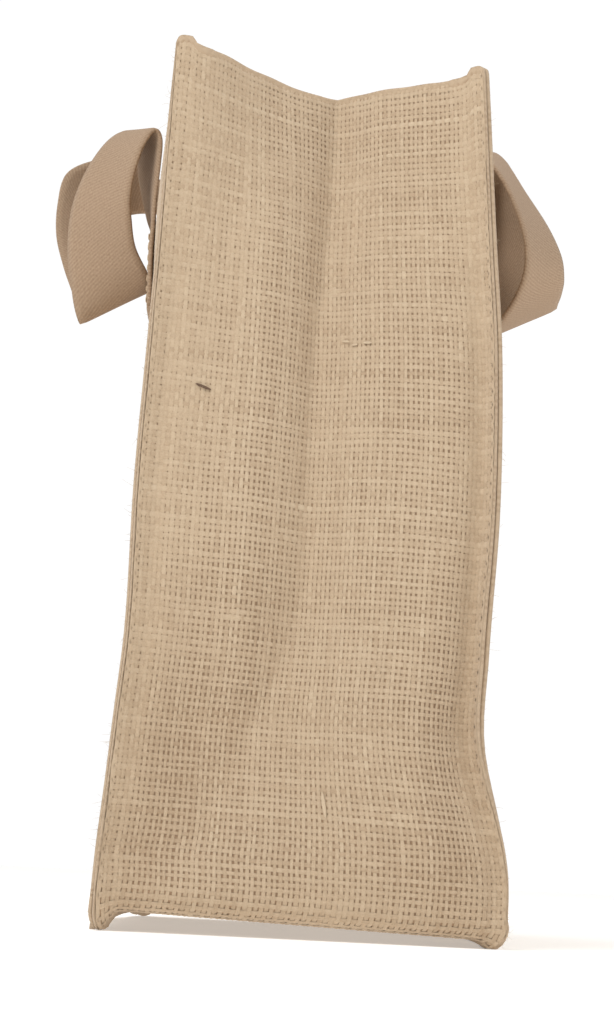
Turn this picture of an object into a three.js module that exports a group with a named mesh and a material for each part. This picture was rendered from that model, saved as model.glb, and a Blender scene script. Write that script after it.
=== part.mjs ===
// A jute lunch bag standing open: two panels, one gusset strip that also makes the base, two webbing handles.
// Millimetres. x runs across the gusset, y along the bag's width and z up; the bag stands on z = 0.
import * as THREE from 'three';

// Driving sizes of the cloth
const BAG_WIDTH = 254; // a panel between its two side seams
const BAG_HEIGHT = 303; // base seam to rim
const CLOTH = 1.6; // one layer of jute
const CLEARANCE = 0.5; // between layers that are sewn together
const ALLOWANCE = 8; // seam allowance, turned outwards
const EAR = 1.5; // how many times wider the allowance stands at the bottom corners
const EAR_SPLAY = 1.42; // how many times farther apart its layers are there
const HORN = 3; // rise of the allowance above the rim at the top corners
const HEM = 24; // cloth turned inside at the rim
const HEM_STEP = 1.5; // over which the hem's edge thins out
const CORNER_RADIUS = 6; // where the strip turns under the base
const SEAM_BEND = 1.6; // from the seam to where a layer lies flat
const RIM_SAG = 4; // of a panel's rim between its corners
const RIM_DIP = 0.09; // drop of the gusset's rim for each millimetre that it folds in
const ORIGIN_X = -9.7; // of the outline's middle on the floor, handles and all

// Driving sizes of the handles
const STRAP_WIDTH = 32;
const STRAP_THICKNESS = 2;

// How finely the sheets are divided
const SIDE_STEPS = 16; // up a side below the hem
const BASE_STEPS = 9; // along the base
const CORNER_STEPS = 2; // half of a bottom corner
const HALF_SHARES = [0, 0.16, 0.36, 0.57, 0.78, 0.93]; // from a seam to the fold's valley
const STRAP_STEPS = 54;
const STRAP_LANES = [-0.5, -0.17, 0.17, 0.5];

const LEFT = { name: 'left', sign: -1 };
const RIGHT = { name: 'right', sign: 1 };

// Heights of the corners: the base seam above the floor, and the rim
const CORNERS = {
  near: { left: { base: 8, rim: 310.2 }, right: { base: 4, rim: 303.2 } },
  far: { left: { base: 5, rim: 307 }, right: { base: 6, rim: 308 } },
};

// Sections of the two ends, by height above the base seam. left, right: where the seams are, across the gusset.
// leftFin, rightFin: degrees by which the allowance leans out of the panel. valley: the fold's place as a share
// of the width. The rest are depths inwards: at the valley, 10 mm from each seam, and halfway between.
const END_COLUMNS = ['height', 'left', 'right', 'leftFin', 'rightFin', 'valley', 'depth',
  'leftShoulder', 'leftMid', 'rightMid', 'rightShoulder'];
const SHOULDER = 10;
const NEAR_END = table(END_COLUMNS, [
  [0, -61.7, 62.2, 60, 80, 0.47, 0, 0, 0, 0, 0],
  [22, -60.7, 61.4, 60, 76, 0.47, -3, -1, -3, -4, -2],
  [62, -58.1, 52.6, 60, 38, 0.47, -2, -2, -5, -7, -4],
  [95, -55.9, 54.2, 60, 34, 0.46, 1, -2, -4, -6, -4],
  [145, -55.8, 56.5, 60, 32, 0.47, 7, -1, -2, -3, -3],
  [200, -53.9, 55.2, 62, 34, 0.475, 13, 0, 3, 3, -1],
  [240, -52.5, 51.6, 66, 38, 0.51, 19, 2, 8, 10, 3],
  [275, -51.3, 48.5, 70, 42, 0.535, 25, 4, 17, 14, 6],
  [BAG_HEIGHT, -50.2, 45.8, 78, 48, 0.525, 30, 6, 23, 18, 8],
]);
const FAR_END = table(END_COLUMNS, [
  [0, -61.5, 61.5, 62, 62, 0.5, 0, 0, 0, 0, 0],
  [70, -58.6, 58, 58, 52, 0.5, -2, -2, -5, -5, -2],
  [150, -57.5, 57, 55, 50, 0.5, 7, -1, -1, -2, -2],
  [230, -54, 54.5, 58, 54, 0.49, 17, 2, 7, 8, 2],
  [BAG_HEIGHT, -50.5, 50, 64, 62, 0.48, 27, 7, 16, 15, 6],
]);

// Height of the allowance's edge above the floor under each side of the base, by share of the bag's width
const STANDING_EDGE = table(['along', 'left', 'right'], [
  [0, 0, 0],
  [0.14, 0.2, 0],
  [0.24, 1.4, 0],
  [0.34, 3, 0],
  [0.46, 4.6, 0],
  [0.68, 4, 0],
  [0.88, 0.8, 0],
  [1, 0, 0],
]);

// How far each panel swells between its side seams, by height above the base seam
const SWELL = table(['height', 'left', 'right'], [
  [0, 0, 0],
  [60, 5, 4],
  [140, 8, 5],
  [220, 11, 7],
  [260, 13, 8],
  [BAG_HEIGHT, 12, 6],
]);

// The middle of each strap: out from the panel's face, along the bag, and up from the floor. turn and rise are
// the degrees by which its width swings out of the bag's length and tips up. The first and last two rows are sewn.
const STRAP_COLUMNS = ['out', 'along', 'up', 'turn', 'rise'];
const STRAPS = {
  left: table(STRAP_COLUMNS, [
    [0, -42, 232, 0, 0],
    [0, -42, 262, 0, 0],
    [2.4, -42, 275, 8, 2],
    [4.9, -42, 289, 17, 5],
    [6.9, -42.5, 301, 22, 10],
    [10.4, -43.6, 305.5, 25, 15],
    [15, -45.3, 301.5, 30, 25],
    [18.5, -46.8, 291.5, 38, 29.5],
    [20.6, -47, 280, 47, 24],
    [21.3, -45.3, 269.5, 53, 12],
    [20.2, -41.2, 257, 58, 1],
    [16.8, -38, 246.5, 70, -9],
    [14.8, -31, 239, 86, -28],
    [14.8, -18, 242, 92, -27],
    [16.5, -6, 247.5, 95, -22],
    [20, 4, 256, 99, -14],
    [25, 13.5, 266, 104, -5],
    [30.5, 21.5, 277.5, 111, 4],
    [34, 27.5, 289, 121, 15],
    [35.5, 32, 300.5, 134, 25],
    [30, 37.5, 307.5, 150, 30],
    [20, 41, 311.5, 164, 29],
    [10, 42, 308.5, 173, 22],
    [4, 42, 299, 178, 10],
    [1.2, 42, 285, 180, 3],
    [0, 42, 262, 180, 0],
    [0, 42, 232, 180, 0],
  ]),
  right: table(STRAP_COLUMNS, [
    [0, -42, 232, 0, 0],
    [0, -42, 262, 0, 0],
    [0.6, -42, 278, 1, 4],
    [1.6, -42.6, 291.5, 2, 14],
    [4.2, -43.6, 300.5, 4, 26],
    [9.6, -44.4, 295.5, 9, 31],
    [14.9, -43.9, 284, 15, 29],
    [19.8, -41.6, 272, 25, 26],
    [21.8, -37.5, 261.5, 36, 25],
    [20.8, -30, 254, 48, 26],
    [18.5, -19, 249.3, 64, 28],
    [16.8, -5, 247.6, 80, 28],
    [16.5, 8, 249, 95, 24],
    [17.2, 19, 255.5, 110, 17],
    [18.3, 27.5, 265.5, 124, 11],
    [18.4, 33.5, 282.5, 138, 16],
    [16.4, 37.5, 299, 150, 23],
    [12, 40, 311, 161, 25],
    [7, 41.2, 314, 170, 20],
    [2.8, 41.8, 304, 176, 10],
    [0.7, 42, 287, 179, 3],
    [0, 42, 262, 180, 0],
    [0, 42, 232, 180, 0],
  ]),
};

const JUTE = { color: 0xc6ad8c, roughness: 0.95, metalness: 0 };
const COTTON_WEBBING = { color: 0xb09a84, roughness: 0.9, metalness: 0 };

// Turns rows of numbers into rows with named columns
function table(columns, rows) {
  return rows.map((row) => Object.fromEntries(row.map((value, k) => [columns[k], value])));
}

// A smooth curve through the values at rising keys, read at one place
function smooth(keys, values, at) {
  const last = keys.length - 1;
  const x = THREE.MathUtils.clamp(at, keys[0], keys[last]);
  let k = 0;
  while (k < last - 1 && x > keys[k + 1]) k += 1;
  const slope = (n) => {
    const a = Math.max(n - 1, 0);
    const b = Math.min(n + 1, last);
    return (values[b] - values[a]) / (keys[b] - keys[a]);
  };
  const span = keys[k + 1] - keys[k];
  const t = (x - keys[k]) / span;
  const rest = 1 - t;
  return values[k] * (1 + 2 * t) * rest * rest + slope(k) * span * t * rest * rest
    + values[k + 1] * t * t * (3 - 2 * t) - slope(k + 1) * span * t * t * rest;
}

function readColumn(rows, key, column, at) {
  return smooth(rows.map((row) => row[key]), rows.map((row) => row[column]), at);
}

const { lerp, smoothstep, degToRad, radToDeg } = THREE.MathUtils;

// Distances of the panel's columns from its near edge, and heights of its rows above the base seam. The first and
// last steps of both lie inside the rounded bottom corners.
function cornerSteps() {
  return Array.from({ length: CORNER_STEPS }, (_, k) => (k * CORNER_RADIUS) / CORNER_STEPS);
}

function evenSteps(from, to, count) {
  return Array.from({ length: count + 1 }, (_, k) => lerp(from, to, k / count));
}

const HEM_EDGE = BAG_HEIGHT - HEM;
const HEIGHTS = [
  ...cornerSteps(),
  ...evenSteps(CORNER_RADIUS, HEM_EDGE - HEM_STEP, SIDE_STEPS),
  HEM_EDGE,
  BAG_HEIGHT - HEM / 2,
  BAG_HEIGHT,
];
const LENGTHS = [
  ...cornerSteps(),
  ...evenSteps(CORNER_RADIUS, BAG_WIDTH - CORNER_RADIUS, BASE_STEPS),
  ...cornerSteps().reverse().map((inset) => BAG_WIDTH - inset),
];
const LAST_COLUMN = LENGTHS.length - 1;
const LAST_ROW = HEIGHTS.length - 1;

// Where column i and row j of a panel lie in its own plane, with the way that its edge faces there
function place(i, j) {
  const fromFar = i > LAST_COLUMN / 2;
  const column = fromFar ? LAST_COLUMN - i : i;
  let inset = fromFar ? BAG_WIDTH - LENGTHS[i] : LENGTHS[i];
  let up = HEIGHTS[j];
  let facing = j === 0 ? 90 : 0;
  if (column <= CORNER_STEPS && j <= CORNER_STEPS) {
    const ring = Math.min(column, j);
    const left = CORNER_STEPS - ring;
    facing = left ? 45 * (1 + (column - j) / left) : 45;
    const radius = (CORNER_RADIUS * left) / CORNER_STEPS;
    inset = CORNER_RADIUS - radius * Math.cos(degToRad(facing));
    up = CORNER_RADIUS - radius * Math.sin(degToRad(facing));
  }
  const along = (fromFar ? BAG_WIDTH - inset : inset) / BAG_WIDTH;
  const angle = degToRad(facing);
  const outward = new THREE.Vector3(0, (fromFar ? 1 : -1) * Math.cos(angle), -Math.sin(angle));
  return { along, up, facing, outward };
}

// The seam surface of a side: where a panel would be without swelling
function seamPlane(side, { along, up }) {
  const x = lerp(
    readColumn(NEAR_END, 'height', side.name, up),
    readColumn(FAR_END, 'height', side.name, up),
    along,
  );
  const base = lerp(CORNERS.near[side.name].base, CORNERS.far[side.name].base, along);
  const rim = lerp(CORNERS.near[side.name].rim, CORNERS.far[side.name].rim, along)
    - RIM_SAG * Math.sin(Math.PI * along);
  return new THREE.Vector3(x, (along - 0.5) * BAG_WIDTH, lerp(base, rim, up / BAG_HEIGHT));
}

function panelSwell(side, { along, up }) {
  return side.sign * readColumn(SWELL, 'height', side.name, up) * (1 - (2 * along - 1) ** 4);
}

const LAYER = (CLOTH + CLEARANCE) / 2; // from the middle of a sewn pair to the middle of one layer

// The middle of a panel's cloth
function panelPoint(side, spot) {
  const point = seamPlane(side, spot);
  point.x += side.sign * LAYER + panelSwell(side, spot);
  return point;
}

// A seam at an edge place of the panel: its point, the way its allowance stands, and the side that faces the panel
function seamAt(side, i, j) {
  const spot = place(i, j);
  const point = seamPlane(side, spot);
  const end = i > LAST_COLUMN / 2 ? FAR_END : NEAR_END;
  const upright = readColumn(end, 'height', `${side.name}Fin`, spot.up);
  const edge = Math.max(readColumn(STANDING_EDGE, 'along', side.name, spot.along), 0);
  const level = radToDeg(Math.acos(Math.min((point.z - edge) / ALLOWANCE, 1)));
  const lean = degToRad(lerp(upright, level, spot.facing / 90));
  const stretch = lerp(1, EAR, Math.sin(degToRad(2 * spot.facing)));
  const across = new THREE.Vector3(side.sign, 0, 0);
  const stands = across.clone().multiplyScalar(Math.sin(lean)).addScaledVector(spot.outward, Math.cos(lean));
  const toPanel = across.multiplyScalar(Math.cos(lean)).addScaledVector(spot.outward, -Math.sin(lean));
  const horn = HORN * smoothstep(spot.up, BAG_HEIGHT - 2 * HEM, BAG_HEIGHT);
  const gap = LAYER * lerp(1, EAR_SPLAY, Math.sin(degToRad(2 * spot.facing)));
  return { spot, point, stands, toPanel, width: ALLOWANCE * stretch, gap, horn, edge };
}

// A point of one layer of the allowance, at a share of its width; layer is 1 on the panel's side
function finPoint(seam, share, layer) {
  const point = seam.point.clone().addScaledVector(seam.stands, seam.width * share);
  point.addScaledVector(seam.toPanel, layer * seam.gap);
  point.z += seam.horn * Math.min(share / FIN_SHARES[0], 1);
  return point;
}

const FIN_SHARES = [0.2, 1];

// The way in which the allowance's edge under the base is drawn out to its height
function edgeSlide({ spot, stands, edge }, share) {
  return spot.facing === 90 && share === 1 ? { stands, edge } : null;
}

// The edge places of a panel, from the near rim down, along the base and up to the far rim
const STATIONS = [
  ...HEIGHTS.map((_, j) => [0, LAST_ROW - j]),
  ...LENGTHS.slice(1).map((_, k) => [k + 1, 0]),
  ...HEIGHTS.slice(1).map((_, k) => [LAST_COLUMN, k + 1]),
];

// A sheet: points on its middle, four-sided faces between them, and its thickness on either side of the middle
class Sheet {
  constructor() {
    this.points = [];
    this.over = [];
    this.under = [];
    this.slides = [];
    this.faces = [];
  }

  add(point, { over, under, slide = null }) {
    this.over.push(over);
    this.under.push(under);
    this.slides.push(slide);
    return this.points.push(point) - 1;
  }

  // Faces between neighbouring lines of point numbers
  join(lines) {
    for (let a = 0; a + 1 < lines.length; a += 1) {
      for (let b = 0; b + 1 < lines[a].length; b += 1) {
        this.faces.push([lines[a][b], lines[a][b + 1], lines[a + 1][b + 1], lines[a + 1][b]]);
      }
    }
  }

  // Unit normals at the points, longer where the sheet bends so that its thickness holds
  normals() {
    const sums = this.points.map(() => new THREE.Vector3());
    const counts = this.points.map(() => 0);
    for (const [a, b, c, d] of this.faces) {
      const [p, q, r, s] = [a, b, c, d].map((k) => this.points[k]);
      const normal = r.clone().sub(p).cross(s.clone().sub(q)).normalize();
      for (const k of [a, b, c, d]) {
        sums[k].add(normal);
        counts[k] += 1;
      }
    }
    return sums.map((sum, k) => sum.multiplyScalar(counts[k] / sum.lengthSq()));
  }

  // The closed solid between the two faces of the sheet
  solid() {
    const normals = this.normals();
    const count = this.points.length;
    const faceOf = (distances) => this.points.map((point, k) => {
      const moved = point.clone().addScaledVector(normals[k], distances[k]);
      const slide = this.slides[k];
      if (slide) moved.addScaledVector(slide.stands, (slide.edge - moved.z) / slide.stands.z);
      return moved.setZ(Math.max(moved.z, 0));
    });
    const upper = faceOf(this.over);
    const lower = faceOf(this.under.map((distance) => -distance));
    const index = [];
    const quad = (a, b, c, d) => index.push(a, b, c, a, c, d);
    const edges = new Set(this.faces.flatMap((f) => f.map((a, k) => `${a} ${f[(k + 1) % 4]}`)));
    for (const face of this.faces) {
      const [a, b, c, d] = face;
      quad(a, b, c, d);
      quad(d + count, c + count, b + count, a + count);
      face.forEach((from, k) => {
        const to = face[(k + 1) % 4];
        if (!edges.has(`${to} ${from}`)) quad(from + count, to + count, to, from);
      });
    }
    const geometry = new THREE.BufferGeometry().setFromPoints([...upper, ...lower]);
    geometry.setIndex(index);
    geometry.computeVertexNormals();
    return geometry;
  }
}

// Thickness on the inner side: the hem doubles the cloth, away from the seams
function innerThickness(up, clearOfSeam) {
  return CLOTH / 2 + (clearOfSeam && up >= HEM_EDGE ? CLOTH : 0);
}

// A panel: its face, and the allowance round its two sides and base
function panelSheet(side) {
  const sheet = new Sheet();
  const sides = (inner) => (side.sign < 0
    ? { over: inner, under: CLOTH / 2 }
    : { over: CLOTH / 2, under: inner });
  const seams = STATIONS.map(([i, j]) => seamAt(side, i, j));
  const rows = HEIGHTS.map((_, j) => LENGTHS.map((__, i) => {
    const spot = place(i, j);
    const point = panelPoint(side, spot);
    const atSide = i === 0 || i === LAST_COLUMN;
    if (atSide || j === 0) point.addScaledVector(spot.outward, -SEAM_BEND);
    const clear = i > CORNER_STEPS && i < LAST_COLUMN - CORNER_STEPS;
    return sheet.add(point, sides(innerThickness(spot.up, clear)));
  }));
  sheet.join(rows);
  const edge = STATIONS.map(([i, j]) => rows[j][i]);
  const fins = FIN_SHARES.map((share) => seams.map((seam) => sheet.add(
    finPoint(seam, share, 1),
    { ...sides(CLOTH / 2), slide: edgeSlide(seam, share) },
  )));
  sheet.join([...fins.toReversed(), edge]);
  return sheet;
}

// The gusset's profile at one end: depth inwards at a distance from the left seam
function endProfile(end, up, width) {
  const read = (column) => readColumn(end, 'height', column, up);
  const valley = width * read('valley');
  const keys = [0, SHOULDER, (SHOULDER + valley) / 2, valley,
    (valley + width - SHOULDER) / 2, width - SHOULDER, width];
  const depths = [0, read('leftShoulder'), read('leftMid'), read('depth'),
    read('rightMid'), read('rightShoulder'), 0];
  return { valley, depthAt: (distance) => smooth(keys, depths, distance) };
}

// The strip that makes both ends and the base, with an allowance along both edges
function gussetSheet() {
  const sheet = new Sheet();
  const plain = { over: CLOTH / 2, under: CLOTH / 2 };
  const lines = STATIONS.map(([i, j]) => {
    const left = seamAt(LEFT, i, j);
    const right = seamAt(RIGHT, i, j);
    const { spot } = left;
    const from = finPoint(left, 0, -1);
    const to = finPoint(right, 0, -1);
    const width = from.distanceTo(to);
    const profile = endProfile(i > LAST_COLUMN / 2 ? FAR_END : NEAR_END, spot.up, width);
    const ends = [SEAM_BEND, width - SEAM_BEND];
    const places = [
      ...HALF_SHARES.map((share) => lerp(ends[0], profile.valley, share)),
      profile.valley,
      ...HALF_SHARES.toReversed().map((share) => lerp(ends[1], profile.valley, share)),
    ];
    const body = places.map((distance, k) => {
      const point = from.clone().lerp(to, distance / width);
      const depth = profile.depthAt(distance) * Math.cos(degToRad(spot.facing));
      point.addScaledVector(spot.outward, -depth);
      point.z -= (RIM_DIP * depth * spot.up) / BAG_HEIGHT;
      const clear = k > 1 && k < places.length - 2;
      return sheet.add(point, { over: innerThickness(spot.up, clear), under: CLOTH / 2 });
    });
    const fin = (seam) => FIN_SHARES.map((share) => sheet.add(
      finPoint(seam, share, -1),
      { ...plain, slide: edgeSlide(seam, share) },
    ));
    return [...fin(left).reverse(), ...body, ...fin(right)];
  });
  sheet.join(lines);
  return sheet;
}

// A strap: sewn flat to the panel at both ends, turning over and hanging outwards between them
function strapSheet(side) {
  const sheet = new Sheet();
  const rows = STRAPS[side.name];
  const keys = rows.map((_, k) => k);
  const read = (column, at) => smooth(keys, rows.map((row) => row[column]), at);
  const seat = (CLOTH + STRAP_THICKNESS) / 2 + CLEARANCE;
  const faceAt = (y, z) => {
    const along = y / BAG_WIDTH + 0.5;
    const level = (up) => panelPoint(side, { along, up }).z;
    const up = (BAG_HEIGHT * (z - level(0))) / (level(BAG_HEIGHT) - level(0));
    return panelPoint(side, { along, up }).x + side.sign * seat;
  };
  const lines = Array.from({ length: STRAP_STEPS + 1 }, (_, k) => {
    const at = ((rows.length - 1) * k) / STRAP_STEPS;
    const [turn, rise] = [read('turn', at), read('rise', at)].map(degToRad);
    const out = Math.max(read('out', at), 0);
    return STRAP_LANES.map((lane) => {
      const reach = lane * STRAP_WIDTH;
      const y = read('along', at) + reach * Math.cos(rise) * Math.cos(turn);
      const z = read('up', at) + reach * Math.sin(rise);
      const away = out + reach * Math.cos(rise) * Math.sin(turn);
      return sheet.add(
        new THREE.Vector3(faceAt(y, z) + side.sign * away, y, z),
        { over: STRAP_THICKNESS / 2, under: STRAP_THICKNESS / 2 },
      );
    });
  });
  sheet.join(side.sign < 0 ? lines : lines.map((line) => line.toReversed()));
  return sheet;
}

function mesh(name, sheet, finish) {
  const made = new THREE.Mesh(sheet.solid(), new THREE.MeshStandardMaterial(finish));
  made.name = name;
  return made;
}

const bag = new THREE.Group();
for (const side of [LEFT, RIGHT]) {
  bag.add(mesh(`panel_${side.name}`, panelSheet(side), JUTE));
  bag.add(mesh(`handle_${side.name}`, strapSheet(side), COTTON_WEBBING));
}
bag.add(mesh('gusset', gussetSheet(), JUTE));

bag.position.x = -ORIGIN_X;

export default bag;
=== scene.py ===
"""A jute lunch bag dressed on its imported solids: cloth, separate yarns, webbing handles and stitching.

Lengths are in millimetres until a mesh is made. x runs across the gusset, y along the bag's width and z up.
"""

from __future__ import annotations

import logging
import math
from dataclasses import dataclass, field
from enum import Enum
from typing import Callable, Sequence

import bpy
import numpy as np
from bpy.types import ID, Material, Node, NodeSocket, NodeTree, Object
from mathutils import Matrix

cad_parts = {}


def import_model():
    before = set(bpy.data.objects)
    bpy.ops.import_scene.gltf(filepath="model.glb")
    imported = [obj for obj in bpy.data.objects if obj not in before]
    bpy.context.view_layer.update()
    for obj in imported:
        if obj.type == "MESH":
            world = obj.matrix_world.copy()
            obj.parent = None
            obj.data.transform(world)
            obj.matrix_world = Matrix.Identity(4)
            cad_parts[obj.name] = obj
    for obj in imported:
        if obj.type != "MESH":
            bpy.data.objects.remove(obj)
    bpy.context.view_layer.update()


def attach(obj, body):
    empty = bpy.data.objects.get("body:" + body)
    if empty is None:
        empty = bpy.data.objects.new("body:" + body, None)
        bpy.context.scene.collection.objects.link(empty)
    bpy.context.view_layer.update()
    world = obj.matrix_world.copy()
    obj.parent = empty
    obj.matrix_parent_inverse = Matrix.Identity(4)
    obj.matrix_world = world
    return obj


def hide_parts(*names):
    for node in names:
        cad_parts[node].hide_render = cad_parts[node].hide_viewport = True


Array = np.ndarray
Value = NodeSocket | float | tuple[float, ...]

log = logging.getLogger("lunch_bag")

MM = 0.001
SEEDS = {"panel_left": 13, "gusset": 20, "panel_right": 27, "fibres": 60}
ORIGIN_X = -9.7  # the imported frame's origin in the tables' own x
FLOOR_GAP = {"yarn": 0.05, "fibre": 0.1, "stitch": 0.4}  # least heights above the floor

BAG_WIDTH = 254.0
BAG_HEIGHT = 303.0
CLOTH = 1.6  # thickness of the jute
CLEARANCE = 0.5  # between two layers
LAYER = (CLOTH + CLEARANCE) / 2  # from a seam to the middle of either layer
GROUND = 0.2  # the cloth's outer thickness under the yarns
LIP = 0.6  # and at the gusset's raw edges
CORNER_RADIUS = 6.0
SEAM_BEND = 1.6
BEND_LIMIT = 1.45  # times the thickness, at most, where a sheet bends
SHOULDER = 10.0  # from a seam to the gusset's shoulder

ALLOWANCE = 8.0
ALLOWANCE_LIMITS = (0.6 * ALLOWANCE, 1.5 * ALLOWANCE)  # where it reaches for the floor
FIN_SHARES = np.array([0.1, 0.2, 0.32, 0.5, 0.7, 0.82, 0.9, 0.96, 1.0])  # of the allowance's width
FIN_ROUND = 0.3  # share of the allowance over which its top corner is rounded
EAR = 1.05  # times the allowance, at the bottom corners
EAR_SPLAY = 1.1  # times the gap between its layers there
HORN = 3.0  # rise of the allowance's top above the rim
HORN_RISE = 0.35  # share of the allowance over which it rises
HORN_FALL = 0.85  # share of the rise that the rounded corner loses

HEM = 24.0
HEM_STEP = 1.5
HEM_TOP = 6.0  # from the rim to the hem's first row below the bead
BEAD = 1.1  # height of the folded edge above the first weft yarn
BEAD_ROWS = np.array([(0.0, 0.3, 1.9), (0.4, 0.62, 2.2), (0.9, 0.58, 2.4), (1.5, 0.25, 2.4)])  # drop, out, in
RIM_SAG = 4.0
RIM_DIP = 0.09
RIM_RIPPLE = 0.3
RIPPLES = ((4.1, 1.0, 1.0), (7.3, 0.0, 1.0), (2.3, 0.0, -0.5))  # pace, start and height of waves in the rim

END_PITCH = 1.89  # warp yarns, across the cloth
PICK_PITCH = 2.34  # weft yarns, down it
YARN_LIFT = 0.55  # from the cloth's middle to the yarns'
RIM_LIFT = 0.1  # the same for the first weft yarn, at the bead
ON_YARNS = 1.05  # from the cloth's middle to a lump on the yarns

STRAP_WIDTH = 32.0
STRAP_THICKNESS = 2.0


class Side(Enum):
    """The two panels, by the sign of x on which they stand."""

    LEFT = -1
    RIGHT = 1

    @property
    def word(self) -> str:
        """The side's name in the tables and node names."""
        return self.name.lower()

    @property
    def across(self) -> Array:
        """The way out of the bag on this side."""
        return np.array([float(self.value), 0, 0])


class Hold(Enum):
    """How a sheet is carried."""

    SEWN = "stretched"
    FOLDED = "folded"
    HANGING = "hung"


def lerp(a: Array, b: Array, t: Array) -> Array:
    """Mix a and b by t."""
    return a + (b - a) * t


def ease(t: Array) -> Array:
    """A smooth step from 0 to 1 for t from 0 to 1."""
    return t**2 * (3 - 2 * t)


@dataclass(frozen=True)
class Fade:
    """A straight change from 0 at a start to 1 at its reach, which is below 0 for a change downwards."""

    start: float | Array
    reach: float | Array

    def at(self, value: Array) -> Array:
        """The fade at values."""
        return np.clip((value - self.start) / self.reach, 0, 1)


def unit(vectors: Array) -> Array:
    """Vectors scaled to length 1 along the last axis."""
    return vectors / np.maximum(np.linalg.norm(vectors, axis=-1, keepdims=True), 1e-9)


def quads(number: Array, closed: bool = False) -> Array:
    """Four-sided faces between neighbours on the last two axes.

    Args:
        number: Point numbers in lines.
        closed: True to join each line's end to its start.

    Returns:
        Point numbers, four to a face.
    """
    if closed:
        number = np.concatenate([number, number[..., :1]], -1)
    first, second = number[..., :-1, :], number[..., 1:, :]
    return np.stack([first[..., :-1], first[..., 1:], second[..., 1:], second[..., :-1]], -1).reshape(-1, 4)


def smooth(keys: Array, values: Array, at: Array) -> Array:
    """Read a smooth curve through the values at rising keys.

    Args:
        keys: Rising places of the values.
        values: Values at the keys.
        at: Places to read, held inside the keys.

    Returns:
        The curve's values there.
    """
    x = np.clip(at, keys[0], keys[-1])
    k = np.clip(np.searchsorted(keys, x, side="left") - 1, 0, len(keys) - 2)
    before = np.maximum(np.arange(len(keys)) - 1, 0)
    after = np.minimum(np.arange(len(keys)) + 1, len(keys) - 1)
    slope = (values[after] - values[before]) / (keys[after] - keys[before])
    span = keys[k + 1] - keys[k]
    t = (x - keys[k]) / span
    rest = 1 - t
    return (
        values[k] * (1 + 2 * t) * rest**2
        + slope[k] * span * t * rest**2
        + values[k + 1] * t**2 * (3 - 2 * t)
        - slope[k + 1] * span * t**2 * rest
    )


@dataclass(frozen=True)
class Table:
    """Rows of numbers under named columns, the first of which is the key."""

    columns: tuple[str, ...]
    rows: tuple[tuple[float, ...], ...]

    def read(self, column: str, at: Array) -> Array:
        """Read a column smoothly at places on the key column."""
        rows = np.array(self.rows, float)
        return smooth(rows[:, 0], rows[:, self.columns.index(column)], at)


END_COLUMNS = (
    "height", "left", "right", "leftFin", "rightFin", "valley", "depth",
    "leftShoulder", "leftMid", "rightMid", "rightShoulder",
)
NEAR_END = Table(END_COLUMNS, (
    (0, -62.1, 62.2, 60, 102, 0.47, 0, 0, 0, 0, 0),
    (22, -60.7, 61.4, 60, 100, 0.47, -3, -1, -3, -4, -2),
    (62, -58.1, 52.6, 60, 52, 0.47, -2, -2, -5, -7, -4),
    (95, -55.9, 54.2, 60, 34, 0.46, 1, -2, -4, -6, -4),
    (145, -55.8, 56.5, 60, 32, 0.47, 7, -1, -2, -3, -3),
    (200, -53.9, 55.2, 62, 34, 0.475, 13, 0, 3, 3, -1),
    (240, -52.5, 51.6, 66, 38, 0.51, 19, 2, 8, 10, 3),
    (275, -51.3, 48.5, 70, 42, 0.535, 25, 4, 17, 14, 6),
    (BAG_HEIGHT, -50.2, 45.8, 78, 48, 0.525, 30, 6, 23, 18, 8),
))
FAR_END = Table(END_COLUMNS, (
    (0, -61.5, 61.5, 62, 62, 0.5, 0, 0, 0, 0, 0),
    (70, -58.6, 58, 58, 52, 0.5, -2, -2, -5, -5, -2),
    (150, -57.5, 57, 55, 50, 0.5, 7, -1, -1, -2, -2),
    (230, -54, 54.5, 58, 54, 0.49, 17, 2, 7, 8, 2),
    (BAG_HEIGHT, -50.5, 50, 64, 62, 0.48, 27, 7, 16, 15, 6),
))
STANDING_EDGE = Table(("along", "left", "right"), (
    (0, 0, 0), (0.03, 0, 0), (0.07, 1.8, 0), (0.12, 2.8, 0), (0.24, 3.6, 0), (0.34, 4.2, 0),
    (0.46, 4.6, 0), (0.68, 4.5, 0), (0.88, 2.2, 0), (1, 0, 0),
))
FIN_BOW = Table(("height", "left", "right"), (
    (0, 0, 1.2), (9, 0.2, 1.6), (18, 1.5, 1.7), (27, 0.8, 1.7), (42, 0, 1.7), (62, 0, 1.6),
    (95, 0, 1), (140, 0, 0.3), (BAG_HEIGHT, 0, 0),
))
SWELL = Table(("height", "left", "right"), (
    (0, 0, 0), (60, 5, 4), (140, 8, 5), (220, 11, 7), (260, 13, 8), (BAG_HEIGHT, 12, 6),
))
CORNER_BASE = {Side.LEFT: (8.0, 5.0), Side.RIGHT: (4.0, 6.0)}  # near, far
TOES = {Side.LEFT: (36.0, 12.0), Side.RIGHT: (38.0, 66.0)}  # near foot's lean, and its reach along the base
CORNER_RIM = {Side.LEFT: (310.2, 307.0), Side.RIGHT: (303.2, 308.0)}

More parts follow.
